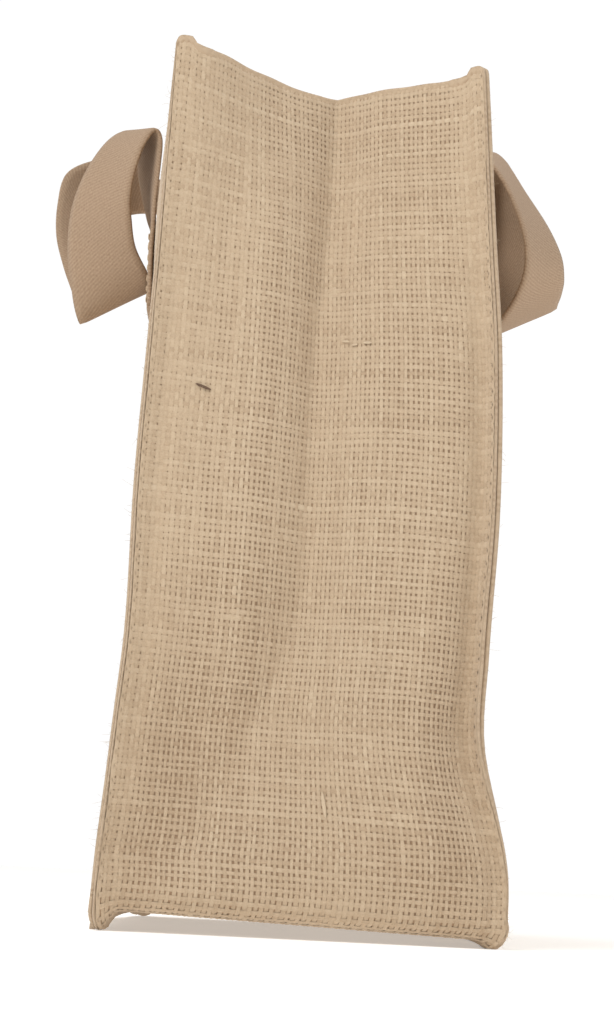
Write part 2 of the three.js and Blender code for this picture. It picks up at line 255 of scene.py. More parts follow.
STRAP_COLUMNS = ("row", "out", "along", "up", "turn", "rise")
STRAP_ROWS = {
    Side.LEFT: (
        (0, -42, 232, 0, 0), (0, -42, 262, 0, 0), (2.4, -42, 275, 8, 2), (4.9, -42, 289, 17, 5),
        (6.9, -42.5, 301, 22, 10), (10.4, -43.6, 305.2, 25, 13.5), (15, -45.3, 300, 30, 20),
        (18.5, -46.8, 289.8, 38, 26), (20.6, -47, 279.4, 47, 23.5), (21.3, -45.3, 269.5, 53, 12),
        (20.2, -41.2, 257, 58, 1), (16.8, -38, 246.5, 70, -9), (14.8, -31, 239, 86, -28),
        (14.8, -18, 242, 92, -27), (16.5, -6, 247.5, 95, -22), (20, 4, 256, 99, -14),
        (25, 13.5, 266, 104, -5), (30.5, 21.5, 277.5, 111, 4), (34, 27.5, 289, 121, 15),
        (35.5, 32, 299.5, 134, 25), (30, 37.5, 305.5, 150, 30), (20, 41, 308.5, 164, 28),
        (10, 42, 307, 173, 21), (4, 42, 299, 178, 10), (1.2, 42, 285, 180, 3), (0, 42, 262, 180, 0),
        (0, 42, 232, 180, 0),
    ),
    Side.RIGHT: (
        (0, -42, 232, 0, 0), (0, -42, 262, 0, 0), (0.6, -42, 278, 1, 4), (1.6, -42.6, 291.5, 2, 14),
        (4.2, -43.6, 300.5, 4, 26), (9.6, -44.4, 295.5, 9, 31), (14.9, -43.9, 284, 15, 29),
        (19.8, -41.6, 272, 25, 26), (21.8, -37.5, 261.5, 36, 25), (20.8, -30, 254, 48, 26),
        (18.5, -19, 249.3, 64, 28), (16.8, -5, 247.6, 80, 28), (16.5, 8, 249, 95, 24),
        (17.2, 19, 255.5, 110, 17), (18.3, 27.5, 265.5, 124, 11), (18.4, 33.5, 282.5, 138, 16),
        (16.4, 37.5, 299, 150, 23), (12, 40, 311, 161, 25), (7, 41.2, 314, 170, 20),
        (2.8, 41.8, 304, 176, 10), (0.7, 42, 287, 179, 3), (0, 42, 262, 180, 0), (0, 42, 232, 180, 0),
    ),
}


@dataclass(frozen=True)
class Crease:
    """A soft trough or ridge drawn down the near end of the gusset, by the distance from the rim."""

    rows: tuple[tuple[float, float, float], ...]  # distance from the rim, share of the width, depth inwards
    left: float  # reach on the left, or 0 for as far as the seam
    right: float
    power: float  # of a crisp trough's profile, or 0 for a soft one

    def read(self, column: str, run: Array) -> Array:
        """Read the share or the depth at distances from the rim."""
        return Table(("run", "share", "depth"), self.rows).read(column, run)

    def depth(self, run: Array, distance: Array, width: Array) -> Array:
        """Depth inwards at places on the strip.

        Args:
            run: Distances from the near rim, one to a line.
            distance: Distances across from the left seam, in rows.
            width: The lines' widths.

        Returns:
            Depths in rows.
        """
        line = (self.read("share", run) * width)[:, None]
        away = distance - line
        left = self.left or line
        right = self.right or width[:, None] - line
        reach = np.clip(1 - np.abs(away) / np.where(away < 0, left, right), 0, 1)
        form = reach**self.power if self.power else ease(reach)
        inside = (run >= self.rows[0][0]) & (run <= self.rows[-1][0])
        return form * np.where(inside, self.read("depth", run), 0)[:, None]


CREASES = (
    Crease(((0, 0.53, 3.2), (25, 0.515, 3), (42.5, 0.505, 2.8), (75, 0.48, 2.8), (98.5, 0.46, 2.6),
            (121, 0.455, 2.2), (147, 0.463, 1.6), (179.5, 0.473, 0.8), (205, 0.47, 0)), 7.5, 14, 1.35),
    Crease(((140, 0.465, 0), (179.5, 0.478, 5), (201.5, 0.45, 8.5), (226.5, 0.39, 10.5), (251.5, 0.305, 10),
            (272, 0.22, 7), (284, 0.165, 3.2), (291, 0.125, 0.9), (297, 0.09, 0)), 0, 48, 1.1),
    Crease(((185, 0.2, 0), (215, 0.2, 2.6), (245, 0.16, 3.2), (270, 0.12, 2.2), (292, 0.08, 0)), 0, 32, 0),
    Crease(((0, 0.93, -0.9), (45, 0.91, -0.9), (101.5, 0.88, -0.7), (155, 0.87, -0.8), (204, 0.87, -1.6),
            (240, 0.86, -3.2), (270, 0.85, -3.6), (284, 0.85, -2), (291, 0.855, -0.6),
            (297, 0.86, 0)), 30, 0, 1.2),
    Crease(((0, 0.14, 1), (13, 0.15, 1.6), (54.5, 0.17, 2.4), (91.5, 0.18, 2.8), (145.5, 0.19, 2.6),
            (198, 0.18, 1.6), (239.5, 0.14, 0.4), (262, 0.12, 0)), 0, 28, 0),
    Crease(((268, 0.01, 0), (276, 0.02, 0.9), (283, 0.04, 2), (289, 0.05, 1.2), (293, 0.06, 0.3),
            (297, 0.065, 0)), 6, 10, 0),
)
SLANT = CREASES[1]


@dataclass
class Spots:
    """Places on a panel: share of the width, height above the base seam, and the way that an edge faces."""

    along: Array
    up: Array
    facing: Array
    far: Array

    @property
    def outward(self) -> Array:
        """Unit vectors out of the panel's edge, in its own plane."""
        angle = np.radians(self.facing)
        way = np.where(self.far, 1.0, -1.0)
        return np.stack([np.zeros_like(angle), way * np.cos(angle), -np.sin(angle)], -1)

    def pick(self, numbers: Array) -> Spots:
        """The places with these numbers."""
        return Spots(*(values.ravel()[numbers] for values in (self.along, self.up, self.facing, self.far)))


@dataclass
class Seams:
    """A seam at edge places: its points, the way its allowance stands, and the way to the panel's layer."""

    points: Array
    stands: Array
    to_panel: Array
    width: Array  # of the allowance
    gap: Array  # from the seam to the middle of either layer
    horn: Array  # rise of the allowance's top
    bow: Array  # depth of the hollow in the allowance
    edge: Array  # height at which the allowance stands

    def fin(self, share: float, layer: int) -> Array:
        """Points on one layer of the allowance.

        Args:
            share: Share of the allowance's width, from the seam.
            layer: 1 on the panel's layer, -1 on the gusset's and 0 between them.

        Returns:
            One point for each edge place.
        """
        hollow = self.bow * math.sin(math.pi * share)
        points = self.points + self.stands * (self.width * share)[:, None]
        points = points + self.to_panel * (layer * self.gap + hollow)[:, None]
        past = max(share - 1 + FIN_ROUND, 0.0) / FIN_ROUND
        fall = HORN_FALL * (1 - math.sqrt(1 - past**2))
        points[:, 2] += self.horn * (ease(min(share / HORN_RISE, 1.0)) - fall)
        return points

    def fins(self, layer: int) -> Array:
        """Points on one layer at all of FIN_SHARES, one row for each edge place."""
        return np.stack([self.fin(share, layer) for share in FIN_SHARES], 1)


@dataclass(frozen=True)
class BagForm:
    """The draped form of the bag, from its tables."""

    side_run: float = BAG_HEIGHT - CORNER_RADIUS
    corner_run: float = CORNER_RADIUS * math.pi / 2
    base_run: float = BAG_WIDTH - 2 * CORNER_RADIUS

    @property
    def strip_length(self) -> float:
        """Length of the gusset strip from rim to rim."""
        return 2 * self.side_run + 2 * self.corner_run + self.base_run

    def edge_places(self, run: Array) -> Spots:
        """Places on a panel's edge, from the near rim down, along the base and up to the far rim.

        Args:
            run: Distances along the edge from the near rim.

        Returns:
            The edge places.
        """
        far = run > self.strip_length / 2
        t = np.where(far, self.strip_length - run, run)
        facing = Fade(self.side_run, self.corner_run).at(t) * 90
        angle = np.radians(facing)
        on_base = np.maximum(t - self.side_run - self.corner_run, 0)
        inset = CORNER_RADIUS * (1 - np.cos(angle)) + on_base
        up = np.where(t <= self.side_run, BAG_HEIGHT - t, CORNER_RADIUS * (1 - np.sin(angle)))
        return Spots(np.where(far, BAG_WIDTH - inset, inset) / BAG_WIDTH, up, facing, far)

    def seam_plane(self, side: Side, along: Array, up: Array) -> Array:
        """Where a panel would be without swelling.

        Args:
            side: The panel's side.
            along: Shares of the bag's width.
            up: Heights above the base seam.

        Returns:
            Points of the seam surface.
        """
        x = lerp(NEAR_END.read(side.word, up), FAR_END.read(side.word, up), along)
        base = lerp(*CORNER_BASE[side], along)
        rim = lerp(*CORNER_RIM[side], along) - RIM_SAG * np.sin(np.pi * along)
        return np.stack([x, (along - 0.5) * BAG_WIDTH, lerp(base, rim, up / BAG_HEIGHT)], -1)

    def panel(self, side: Side, along: Array, up: Array) -> Array:
        """The middle of a panel's cloth, at the same places as the seam plane's."""
        points = self.seam_plane(side, along, up)
        points[..., 0] += side.value * (LAYER + SWELL.read(side.word, up) * (1 - (2 * along - 1) ** 4))
        return points

    def seams(self, side: Side, spots: Spots) -> Seams:
        """The seam of a side at edge places.

        Args:
            side: The panel's side.
            spots: Edge places.

        Returns:
            The seam there.
        """
        points = self.seam_plane(side, spots.along, spots.up)
        fin = f"{side.word}Fin"
        upright = np.where(spots.far, FAR_END.read(fin, spots.up), NEAR_END.read(fin, spots.up))
        edge = np.maximum(STANDING_EDGE.read(side.word, spots.along), 0)
        drop = points[:, 2] - edge
        level = np.degrees(np.arccos(np.clip(drop / ALLOWANCE, -1, 1)))
        toe_lean, toe_reach = TOES[side]
        toe = Fade(CORNER_RADIUS + toe_reach, -toe_reach).at(spots.along * BAG_WIDTH)
        level = lerp(level, toe_lean, ease(toe))
        to_floor = np.clip(drop / np.cos(np.radians(level)), *ALLOWANCE_LIMITS)
        turned = spots.facing / 90
        lean = np.radians(lerp(upright, level, turned))[:, None]
        ear = np.sin(np.radians(2 * spots.facing))
        return Seams(
            points,
            side.across * np.sin(lean) + spots.outward * np.cos(lean),
            side.across * np.cos(lean) - spots.outward * np.sin(lean),
            lerp(ALLOWANCE * lerp(1, EAR, ear), to_floor, turned**2),
            LAYER * lerp(1, EAR_SPLAY, ear),
            HORN * ease(Fade(BAG_HEIGHT - 2 * HEM, 2 * HEM).at(spots.up)),
            np.where(spots.far, 0, FIN_BOW.read(side.word, spots.up)) * (1 - turned),
            edge,
        )

    def gusset(self, run: Array, shares: Array) -> Array:
        """The middle of the gusset's cloth between its seams.

        Args:
            run: Distances along the strip from the near rim.
            shares: Shares of the width between the seams' bends.

        Returns:
            Points, one row for each distance and one column for each share.
        """
        spots = self.edge_places(run)
        start, end = (self.seams(side, spots).fin(0, -1) for side in Side)
        width = np.linalg.norm(end - start, axis=1)
        distance = SEAM_BEND + (width[:, None] - 2 * SEAM_BEND) * shares[None, :]
        valley, bottom, *slopes = (
            np.where(spots.far, FAR_END.read(name, spots.up), NEAR_END.read(name, spots.up))
            for name in END_COLUMNS[5:]
        )
        left_shoulder, left_mid, right_mid, right_shoulder = slopes
        depth = np.empty_like(distance)
        for k, w in enumerate(width):
            low = w * valley[k]
            keys = [0, SHOULDER, (SHOULDER + low) / 2, low, (low + w - SHOULDER) / 2, w - SHOULDER, w]
            depths = [0, left_shoulder[k], left_mid[k], bottom[k], right_mid[k], right_shoulder[k], 0]
            depth[k] = smooth(np.array(keys), np.array(depths), distance[k])
        for crease in CREASES:
            depth += np.where(spots.far[:, None], 0, crease.depth(run, distance, width))
        depth *= np.cos(np.radians(spots.facing))[:, None]
        points = lerp(start[:, None], end[:, None], (distance / width[:, None])[..., None])
        points = points - spots.outward[:, None] * depth[..., None]
        points[..., 2] -= RIM_DIP * depth * spots.up[:, None] / BAG_HEIGHT
        ripple = sum(height * np.sin(distance / pace + begin) for pace, begin, height in RIPPLES)
        inner = Fade(0, SHOULDER).at(np.minimum(distance, width[:, None] - distance))
        top = Fade(BAG_HEIGHT - HEM, HEM).at(spots.up)
        points[..., 2] += RIM_RIPPLE * ripple * inner * top[:, None]
        return points


FORM = BagForm()


def hemmed(
    outer: Array, bead: Array, clear: Array, in_hem: Array
) -> tuple[Array, Array]:
    """Thickness of a cloth with a hem turned inside and a folded bead at its rim.

    Args:
        outer: Outer thickness off the bead.
        bead: Rows from the rim.
        clear: Whether a place is clear of the side seams.
        in_hem: Whether it is within the hem.

    Returns:
        Thickness inside and outside the cloth's middle.
    """
    inner = CLOTH / 2 + CLOTH * (clear & in_hem)
    folded = clear & (bead < len(BEAD_ROWS))
    rows = BEAD_ROWS[np.minimum(bead, len(BEAD_ROWS) - 1)]
    return np.where(folded, rows[..., 2], inner), np.where(folded, rows[..., 1], outer)


def srgb(code: str) -> tuple[float, float, float, float]:
    """An sRGB hex colour as linear red, green, blue and alpha."""
    parts = [int(code[k:k + 2], 16) / 255 for k in (1, 3, 5)]
    linear = [p / 12.92 if p <= 0.04045 else ((p + 0.055) / 1.055) ** 2.4 for p in parts]
    return (*linear, 1.0)


@dataclass(frozen=True)
class Nodes:
    """A node tree that is filled by short calls."""

    tree: NodeTree

    def fill(self, node: Node, values: dict[str | int, Value]) -> None:
        """Link or set a node's inputs.

        Args:
            node: The node.
            values: Input name or number to an output socket or a value.
        """
        for key, value in values.items():
            if isinstance(value, NodeSocket):
                self.tree.links.new(value, node.inputs[key])
            else:
                node.inputs[key].default_value = value

    def add(self, kind: str, values: dict[str | int, Value] | None = None, **settings: str) -> Node:
        """Add a node.

        Args:
            kind: The node's type name.
            values: Input name or number to an output socket or a value.
            settings: Attributes to set on the node.

        Returns:
            The new node.
        """
        node = self.tree.nodes.new(kind)
        for name, value in settings.items():
            setattr(node, name, value)
        self.fill(node, values or {})
        return node

    def math(self, operation: str, *values: Value) -> NodeSocket:
        """The result of a sum on sockets and numbers."""
        return self.add("ShaderNodeMath", dict(enumerate(values)), operation=operation).outputs[0]

    def named(self, name: str, output: str) -> NodeSocket:
        """An attribute of the mesh."""
        return self.add("ShaderNodeAttribute", attribute_name=name).outputs[output]

    def split(self, vector: Value) -> Sequence[NodeSocket]:
        """A vector's x, y and z."""
        return self.add("ShaderNodeSeparateXYZ", {0: vector}).outputs

    def noise(self, vector: Value, scale: float, detail: float = 2.0) -> NodeSocket:
        """A noise over places."""
        values = {"Vector": vector, "Scale": scale, "Detail": detail}
        return self.add("ShaderNodeTexNoise", values).outputs["Fac"]

    def mix(self, share: Value, first: Value, second: Value) -> NodeSocket:
        """Two colours mixed by a share."""
        return self.add("ShaderNodeMix", {0: share, 6: first, 7: second}, data_type="RGBA").outputs[2]

    def bump(self, strength: float, depth: float, height: Value) -> NodeSocket:
        """A normal bumped by heights, to a depth in millimetres."""
        values = {"Strength": strength, "Distance": depth * MM, "Height": height}
        return self.add("ShaderNodeBump", values).outputs["Normal"]


@dataclass(frozen=True)
class Finish:
    """A surface finish on a principled shader."""

    name: str
    roughness: float
    sheen: float = 0.0
    sheen_roughness: float = 0.6
    specular: float = 0.08

    def build(self) -> Material:
        """Build the material.

        Returns:
            The finished material.
        """
        material = bpy.data.materials.new(self.name)
        material.use_nodes = True
        nodes = Nodes(material.node_tree)
        nodes.fill(nodes.tree.nodes["Principled BSDF"], {
            "Roughness": self.roughness, "Sheen Weight": self.sheen, "Sheen Roughness": self.sheen_roughness,
            "Specular IOR Level": self.specular, **self.dress(nodes)})
        return material

    def dress(self, nodes: Nodes) -> dict[str, Value]:
        """What each of the shader's other inputs takes."""
        raise NotImplementedError


@dataclass(frozen=True)
class JuteYarn(Finish):
    """Spun jute: matt golden-tan yarn with darker and paler lengths, and fibres that lie along it."""

    dark: str = "#A58D72"
    middle: str = "#BEA88D"
    pale: str = "#CDBA9F"
    fibre: float = 0.55  # of a millimetre, drawn coarser than the real fibre so that it shows
    spread: float = 0.5  # of the tone, by the fibres

    def dress(self, nodes: Nodes) -> dict[str, Value]:
        """What the shader takes.

        Args:
            nodes: The material's nodes.

        Returns:
            The shader's inputs.
        """
        place = nodes.add("ShaderNodeTexCoord").outputs["Object"]
        streak = nodes.noise(place, 1 / (self.fibre * MM))
        uneven = nodes.math("MULTIPLY_ADD", streak, self.spread, -self.spread / 2)
        tone = nodes.math("ADD", nodes.named("tone", "Fac"), uneven)
        colours = nodes.add("ShaderNodeValToRGB", {"Fac": tone})
        colours.color_ramp.elements[0].color = srgb(self.dark)
        colours.color_ramp.elements[1].color = srgb(self.pale)
        colours.color_ramp.elements.new(0.5).color = srgb(self.middle)
        return {"Base Color": colours.outputs["Color"], "Normal": nodes.bump(0.35, 0.2, streak)}


@dataclass(frozen=True)
class JuteGround(Finish):
    """Cloth behind the yarns: darker with painted shade in their gaps, and close-woven on the allowances and
    inside.
    """

    # painted shade: the darker colour where the gaps between the yarns show the ground
    gap: str = "#A4886C"
    thread: str = "#BAA48A"
    # painted shade in the close weave's holes and under its crossings
    shade: str = "#8F745A"
    crossing: float = 0.12  # painted light and shade: paler where a yarn crosses over, and darker where it crosses under
    patch: float = 0.11  # scale of the patches in which holes show, per millimetre
    holes: tuple[float, float, float] = (0.38, 0.68, 0.8)  # where they begin and are full, and how dark their painted shade is

    def dress(self, nodes: Nodes) -> dict[str, Value]:
        """What the shader takes.

        Args:
            nodes: The material's nodes.

        Returns:
            The shader's inputs.
        """
        lie = nodes.named("weave", "Vector")
        places = zip(nodes.split(lie), (END_PITCH, PICK_PITCH))
        turns = [nodes.math("MULTIPLY", place, math.pi / pitch) for place, pitch in places]
        over, between = (
            nodes.math("MULTIPLY", *(nodes.math(kind, turn) for turn in turns))
            for kind in ("SINE", "COSINE"))
        begin, full, most = self.holes
        strength = nodes.add("ShaderNodeMapRange", {
            "Value": nodes.noise(lie, self.patch, 3.0), "From Min": begin, "From Max": full, "To Max": most})
        hole = nodes.math("MULTIPLY", nodes.math("POWER", between, 2.0), strength.outputs["Result"])
        relief = nodes.math("MULTIPLY_ADD", over, self.crossing, nodes.math("SUBTRACT", 1.0, hole))
        cloth = nodes.mix(relief, srgb(self.shade), srgb(self.thread))
        # painted shade in the yarns' gaps, where they lie over the ground
        colour = nodes.mix(nodes.named("cover", "Fac"), cloth, srgb(self.gap))
        return {"Base Color": colour, "Normal": nodes.bump(0.4, 0.4, relief)}


@dataclass(frozen=True)
class CottonWebbing(Finish):
    """Cotton twill webbing: dull pinkish grey with slanting ribs, painted darker in their grooves as shade,
    and uneven in tone.
    """

    # painted shade in the ribs' grooves, and the dark end of the uneven tone
    shade: str = "#89705A"
    face: str = "#B59D84"
    rib: float = 1.35  # millimetres, drawn a little coarser than the real twill so that it shows
    lean: float = -0.6
    # height of the ribs, for the bump and for the painted shade in their grooves
    relief: float = 0.13

    def dress(self, nodes: Nodes) -> dict[str, Value]:
        """What the shader takes.

        Args:
            nodes: The material's nodes.

        Returns:
            The shader's inputs.
        """
        lie = nodes.named("weave", "Vector")
        along, across, _ = nodes.split(lie)
        slant = nodes.math("MULTIPLY_ADD", across, self.lean, along)
        wave = nodes.math("SINE", nodes.math("MULTIPLY", slant, 2 * math.pi / self.rib))
        height = nodes.math("MULTIPLY_ADD", wave, self.relief, nodes.noise(lie, 1.1, 3.0))
        colour = nodes.mix(height, srgb(self.shade), srgb(self.face))
        return {"Base Color": colour, "Normal": nodes.bump(0.45, 0.3, height)}


@dataclass(frozen=True)
class CottonThread(Finish):
    """Sewing thread: twisted cotton, a shade paler than the jute."""

    colour: str = "#BBA589"
    twist: float = 0.5  # millimetres

    def dress(self, nodes: Nodes) -> dict[str, Value]:
        """What the shader takes."""
        twist = nodes.noise(nodes.add("ShaderNodeTexCoord").outputs["Object"], 1 / (self.twist * MM))
        return {"Base Color": srgb(self.colour), "Normal": nodes.bump(0.3, 0.1, twist)}


@dataclass(frozen=True)
class LitTable(Finish):
    """A matt white acrylic table, lit a little from beneath so that the gap under the bag isn't black."""

    colour: str = "#F6F5F3"
    glow: float = 0.36

    def dress(self, nodes: Nodes) -> dict[str, Value]:
        """What the shader takes."""
        colour = srgb(self.colour)
        return {"Base Color": colour, "Emission Color": colour, "Emission Strength": self.glow}


@dataclass(frozen=True)
class Finishes:
    """The bag's finishes, built once."""

    yarn: Material
    ground: Material
    webbing: Material
    thread: Material
    bark: Material


def in_metres(points: Array) -> Array:
    """Points of the bag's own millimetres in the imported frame."""
    return (points - [ORIGIN_X, 0, 0]) * MM


def link(name: str, data: ID) -> Object:
    """A new object of the data, linked to the scene."""
    obj = bpy.data.objects.new(name, data)
    bpy.context.scene.collection.objects.link(obj)
    return obj


def make_object(
    name: str,
    points: Array,
    faces: Array,
    material: Material,
    numbers: dict[str, Array] | None = None,
) -> Object:
    """Make a smooth mesh object from arrays in the bag's own millimetres.

    Args:
        name: The piece's name.
        points: Points in millimetres.
        faces: Point numbers, four to a face.
        material: The finish.
        numbers: Attributes on the points, of one or three numbers each.

    Returns:
        The new object, linked to the scene.
    """
    mesh = bpy.data.meshes.new(name)
    mesh.from_pydata(in_metres(points), [], faces.tolist())
    for key, values in (numbers or {}).items():
        kind, entry = ("FLOAT_VECTOR", "vector") if values.ndim == 2 else ("FLOAT", "value")
        layer = mesh.attributes.new(key, kind, "POINT")
        layer.data.foreach_set(entry, values.astype(np.float32).ravel())
    mesh.materials.append(material)
    mesh.polygons.foreach_set("use_smooth", np.ones(len(mesh.polygons), bool))
    mesh.update()
    return link(name, mesh)


def settle(pieces: Sequence[Object]) -> None:
    """Ride pieces on the bag."""
    for piece in pieces:
        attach(piece, "root")


@dataclass
class Sheet:
    """A sheet of cloth as points on its middle, four-sided faces, and a thickness on each side of them."""

    points: list[Array] = field(default_factory=list)
    values: list[Array] = field(default_factory=list)
    faces: list[Array] = field(default_factory=list)
    slides: list[tuple[Array, Array, Array]] = field(default_factory=list)
    count: int = 0

    def add(
        self,
        points: Array,
        over: Array | float,
        under: Array | float,
        weave: tuple[Array, Array],
        cover: Array | float = 0.0,
    ) -> Array:
        """Add points.

        Args:
            points: Their places, in lines.
            over: Thickness on the side that the faces face.
            under: Thickness on the other side.
            weave: The two measures of their places on the flat cloth.
            cover: 1 where separate yarns lie over the cloth.

        Returns:
            The points' numbers, in the same lines.
        """
        shape = points.shape[:-1]
        numbers = self.count + np.arange(math.prod(shape)).reshape(shape)
        self.count += numbers.size
        self.points.append(points.reshape(-1, 3))
        values = (over, under, *weave, cover)
        self.values.append(np.stack([np.broadcast_to(v, shape).ravel() for v in values]))
        return numbers

    def join(self, lines: Array) -> None:
        """Add faces between neighbouring lines of point numbers."""
        self.faces.append(quads(lines))

    def draw_out(self, numbers: Array, seams: Seams, standing: Array) -> None:
        """Draw the standing ones of an allowance's edge points out to the height at which they stand."""
        self.slides.append((numbers[standing], seams.stands[standing], seams.edge[standing]))

    @staticmethod
    def normals(points: Array, faces: Array) -> Array:
        """Normals at the points, longer where the sheet bends so that its thickness holds.

        Args:
            points: Points on the sheet's middle.
            faces: Point numbers, four to a face.

        Returns:
            One normal for each point.
        """
        p, q, r, s = (points[faces[:, k]] for k in range(4))
        normal = unit(np.cross(r - p, s - q))
        sums = np.zeros_like(points)
        for k in range(4):
            np.add.at(sums, faces[:, k], normal)
        counts = np.bincount(faces.ravel(), minlength=len(points))
        length = np.maximum(np.linalg.norm(sums, axis=1), 1e-9)
        return sums * (np.minimum(counts / length, BEND_LIMIT) / length)[:, None]

    def build(self, name: str, material: Material, covered_over: bool) -> Object:
        """Make the closed sheet.

        Args:
            name: The piece's name.
            material: The finish.
            covered_over: True if the side that the faces face is the one under the yarns.

        Returns:
            The new object.
        """
        points, faces = np.concatenate(self.points), np.concatenate(self.faces)
        over, under, *weave, cover = np.concatenate(self.values, 1)
        normals = self.normals(points, faces)
        sides = []
        for distance in (over, -under):
            moved = points + normals * distance[:, None]
            for numbers, ways, heights in self.slides:
                moved[numbers] += ways * ((heights - moved[numbers, 2]) / ways[:, 2])[:, None]
            moved[:, 2] = np.maximum(moved[:, 2], 0)
            sides.append(moved)
        count = self.count
        edges = {(face[k], face[(k + 1) % 4]) for face in faces.tolist() for k in range(4)}
        border = [(a + count, b + count, b, a) for a, b in edges if (b, a) not in edges]
        bare = np.zeros(count)
        flat = np.stack([*weave, bare], 1)
        every = np.concatenate([faces, faces[:, ::-1] + count, border])
        return make_object(name, np.concatenate(sides), every, material, {
            "weave": np.concatenate([flat, flat]),
            "cover": np.concatenate([cover, bare] if covered_over else [bare, cover])})


@dataclass(frozen=True)
class YarnSet:
    """The yarns of one direction. Uneven values are their own spread and the heights of two slow waves."""

    word: str
    draw: int  # added to the seed
    pitch: float  # from crossing to crossing along a yarn
    width: float
    crown: float  # height of the arch
    shade: float  # painted shade: tone lost where a yarn is crossed over
    stray: tuple[float, float, float]  # uneven place, sideways
    body: tuple[float, float, float]  # uneven thickness, as a power of e


WARP = YarnSet("warp", 1, PICK_PITCH, 1.27, 0.13, 0.12, (0.07, 0.05, 0.07), (0.06, 0.05, 0.05))
WEFT = YarnSet("weft", 2, END_PITCH, 1.5, 0.2, 0.2, (0.1, 0.08, 0.1), (0.08, 0.05, 0.05))


@dataclass
class Weave:
    """Warp and weft yarns over a grid of crossings: rows down the cloth, ends across it."""

    name: str
    crossings: Array
    normals: Array
    opened: Array
    # where shade is painted into the yarns' tone, from 0 to 1
    painted_shade: Array
    wave: float = 0.15
    closed_body: float = 1.24  # times a yarn's width where the weave is close
    opening: float = 0.27  # of that lost where it is open
    slub_odds: float = 0.003
    slub_width: float = 0.3
    slub_tone: float = 0.15
    shade_loss: float = 0.13  # painted shade: tone lost on the patches where the form lies in shade
    tone: tuple[float, float, float] = (0.07, 0.05, 0.05)  # uneven tone
    slow_waves: tuple[float, float] = (17.0, 61.0)  # lengths

    def build(self, material: Material) -> list[Object]:
        """The yarns of both directions."""
        return [self.lay(kind, material) for kind in (WARP, WEFT)]

    def lay(self, kind: YarnSet, material: Material) -> Object:
        """Make the yarns of one direction as one mesh of arched strips.

        Args:
            kind: The direction's yarns.
            material: The finish.

        Returns:
            The new object.
        """
        rng = np.random.default_rng(SEEDS[self.name] + kind.draw)
        warp = kind is WARP
        rows, ends = self.crossings.shape[:2]
        parity = 1.0 - 2.0 * (np.add.outer(np.arange(rows), np.arange(ends)) % 2)
        sideways = unit(np.gradient(self.crossings, axis=1 if warp else 0))
        sign = parity if warp else -parity
        grids = (self.crossings, self.normals, sideways, sign, self.opened, self.painted_shade)
        if warp:
            grids = tuple(np.swapaxes(grid, 0, 1) for grid in grids)
        points, normals, sideways, sign, opened, painted_shade = grids
        yarns, steps = sign.shape
        run = np.arange(steps) * kind.pitch
        wander = self.drift(rng, yarns, run, kind.stray)
        body = np.exp(self.drift(rng, yarns, run, kind.body)) * (self.closed_body - self.opening * opened)
        slubs = (rng.random((yarns, steps)) < self.slub_odds).astype(float)
        swell = np.exp(-np.arange(-2, 3) ** 2 / 2)
        lumps = np.minimum(np.apply_along_axis(lambda row: np.convolve(row, swell, "same"), 1, slubs), 1)
        width = kind.width * body * (1 + self.slub_width * lumps)
        middle = points + sideways * wander[..., None] + normals * (sign * self.wave)[..., None]
        side = sideways * (width / 2)[..., None]
        crown = normals * (kind.crown * np.sqrt(body))[..., None]
        strip = np.stack([middle - side - 0.5 * crown, middle + crown, middle + side - 0.5 * crown], 2)
        strip[..., 2] = np.maximum(strip[..., 2], FLOOR_GAP["yarn"])
        tone = 0.5 + self.drift(rng, yarns, run, self.tone) + self.slub_tone * lumps
        # painted shade: darker where a yarn passes under another, and on the patches in shade
        tone = tone - kind.shade * (sign < 0) - self.shade_loss * painted_shade
        number = np.arange(strip.size // 3).reshape(strip.shape[:-1])
        obj = make_object(f"{self.name}_{kind.word}", strip.reshape(-1, 3), quads(number), material,
                          {"tone": np.repeat(tone, 3)})
        self.unwrap(obj, yarns, steps)
        return obj

    def drift(
        self, rng: np.random.Generator, yarns: int, run: Array, spread: tuple[float, float, float]
    ) -> Array:
        """Uneven values along yarns: an own value for each, and two slow waves.

        Args:
            rng: The seeded source of numbers.
            yarns: How many yarns.
            run: Distances along a yarn.
            spread: Spread of the own values, and heights of the two waves.

        Returns:
            One row for each yarn.
        """
        own, *waves = spread
        total = rng.normal(0, own, (yarns, 1)) + np.zeros((yarns, len(run)))
        for height, length in zip(waves, self.slow_waves):
            phase = rng.uniform(0, 2 * np.pi, (yarns, 1))
            pace = rng.uniform(0.7, 1.4, (yarns, 1)) * 2 * np.pi / length
            total = total + height * np.sin(phase + pace * run[None, :])
        return total

    @staticmethod
    def unwrap(obj: Object, yarns: int, steps: int) -> None:
        """Lay each yarn as its own strip of the OFBake UV map.

        Args:
            obj: The yarns' object.
            yarns: How many yarns.
            steps: How many crossings along each.
        """
        layer = obj.data.uv_layers.new(name="OFBake")
        margin = 0.06
        half = 0.5 - margin
        y, s, h = np.meshgrid(np.arange(yarns), np.arange(steps - 1), np.arange(2), indexing="ij")
        corners = []
        for ds, dh in ((0, 0), (0, 1), (1, 1), (1, 0)):
            corners.append(np.stack([(s + ds) / (steps - 1), (y + margin + half * (h + dh)) / yarns], -1))
        layer.data.foreach_set("uv", np.stack(corners, 3).astype(np.float32).ravel())


def even_shares(lines: Array, count: int) -> Array:
    """Points spread evenly along each line by its length.

    Args:
        lines: Points on lines, one line to a row.
        count: How many points to give each line.

    Returns:
        The points, one row to a line.
    """
    steps = np.linalg.norm(np.diff(lines, axis=1), axis=2)
    lengths = np.concatenate([np.zeros((len(lines), 1)), np.cumsum(steps, 1)], 1)
    wanted = (np.arange(count) + 0.5) / count
    out = np.empty((len(lines), count, 3))
    for k, (line, length) in enumerate(zip(lines, lengths)):
        for axis in range(3):
            out[k, :, axis] = np.interp(wanted * length[-1], length, line[:, axis])
    return out


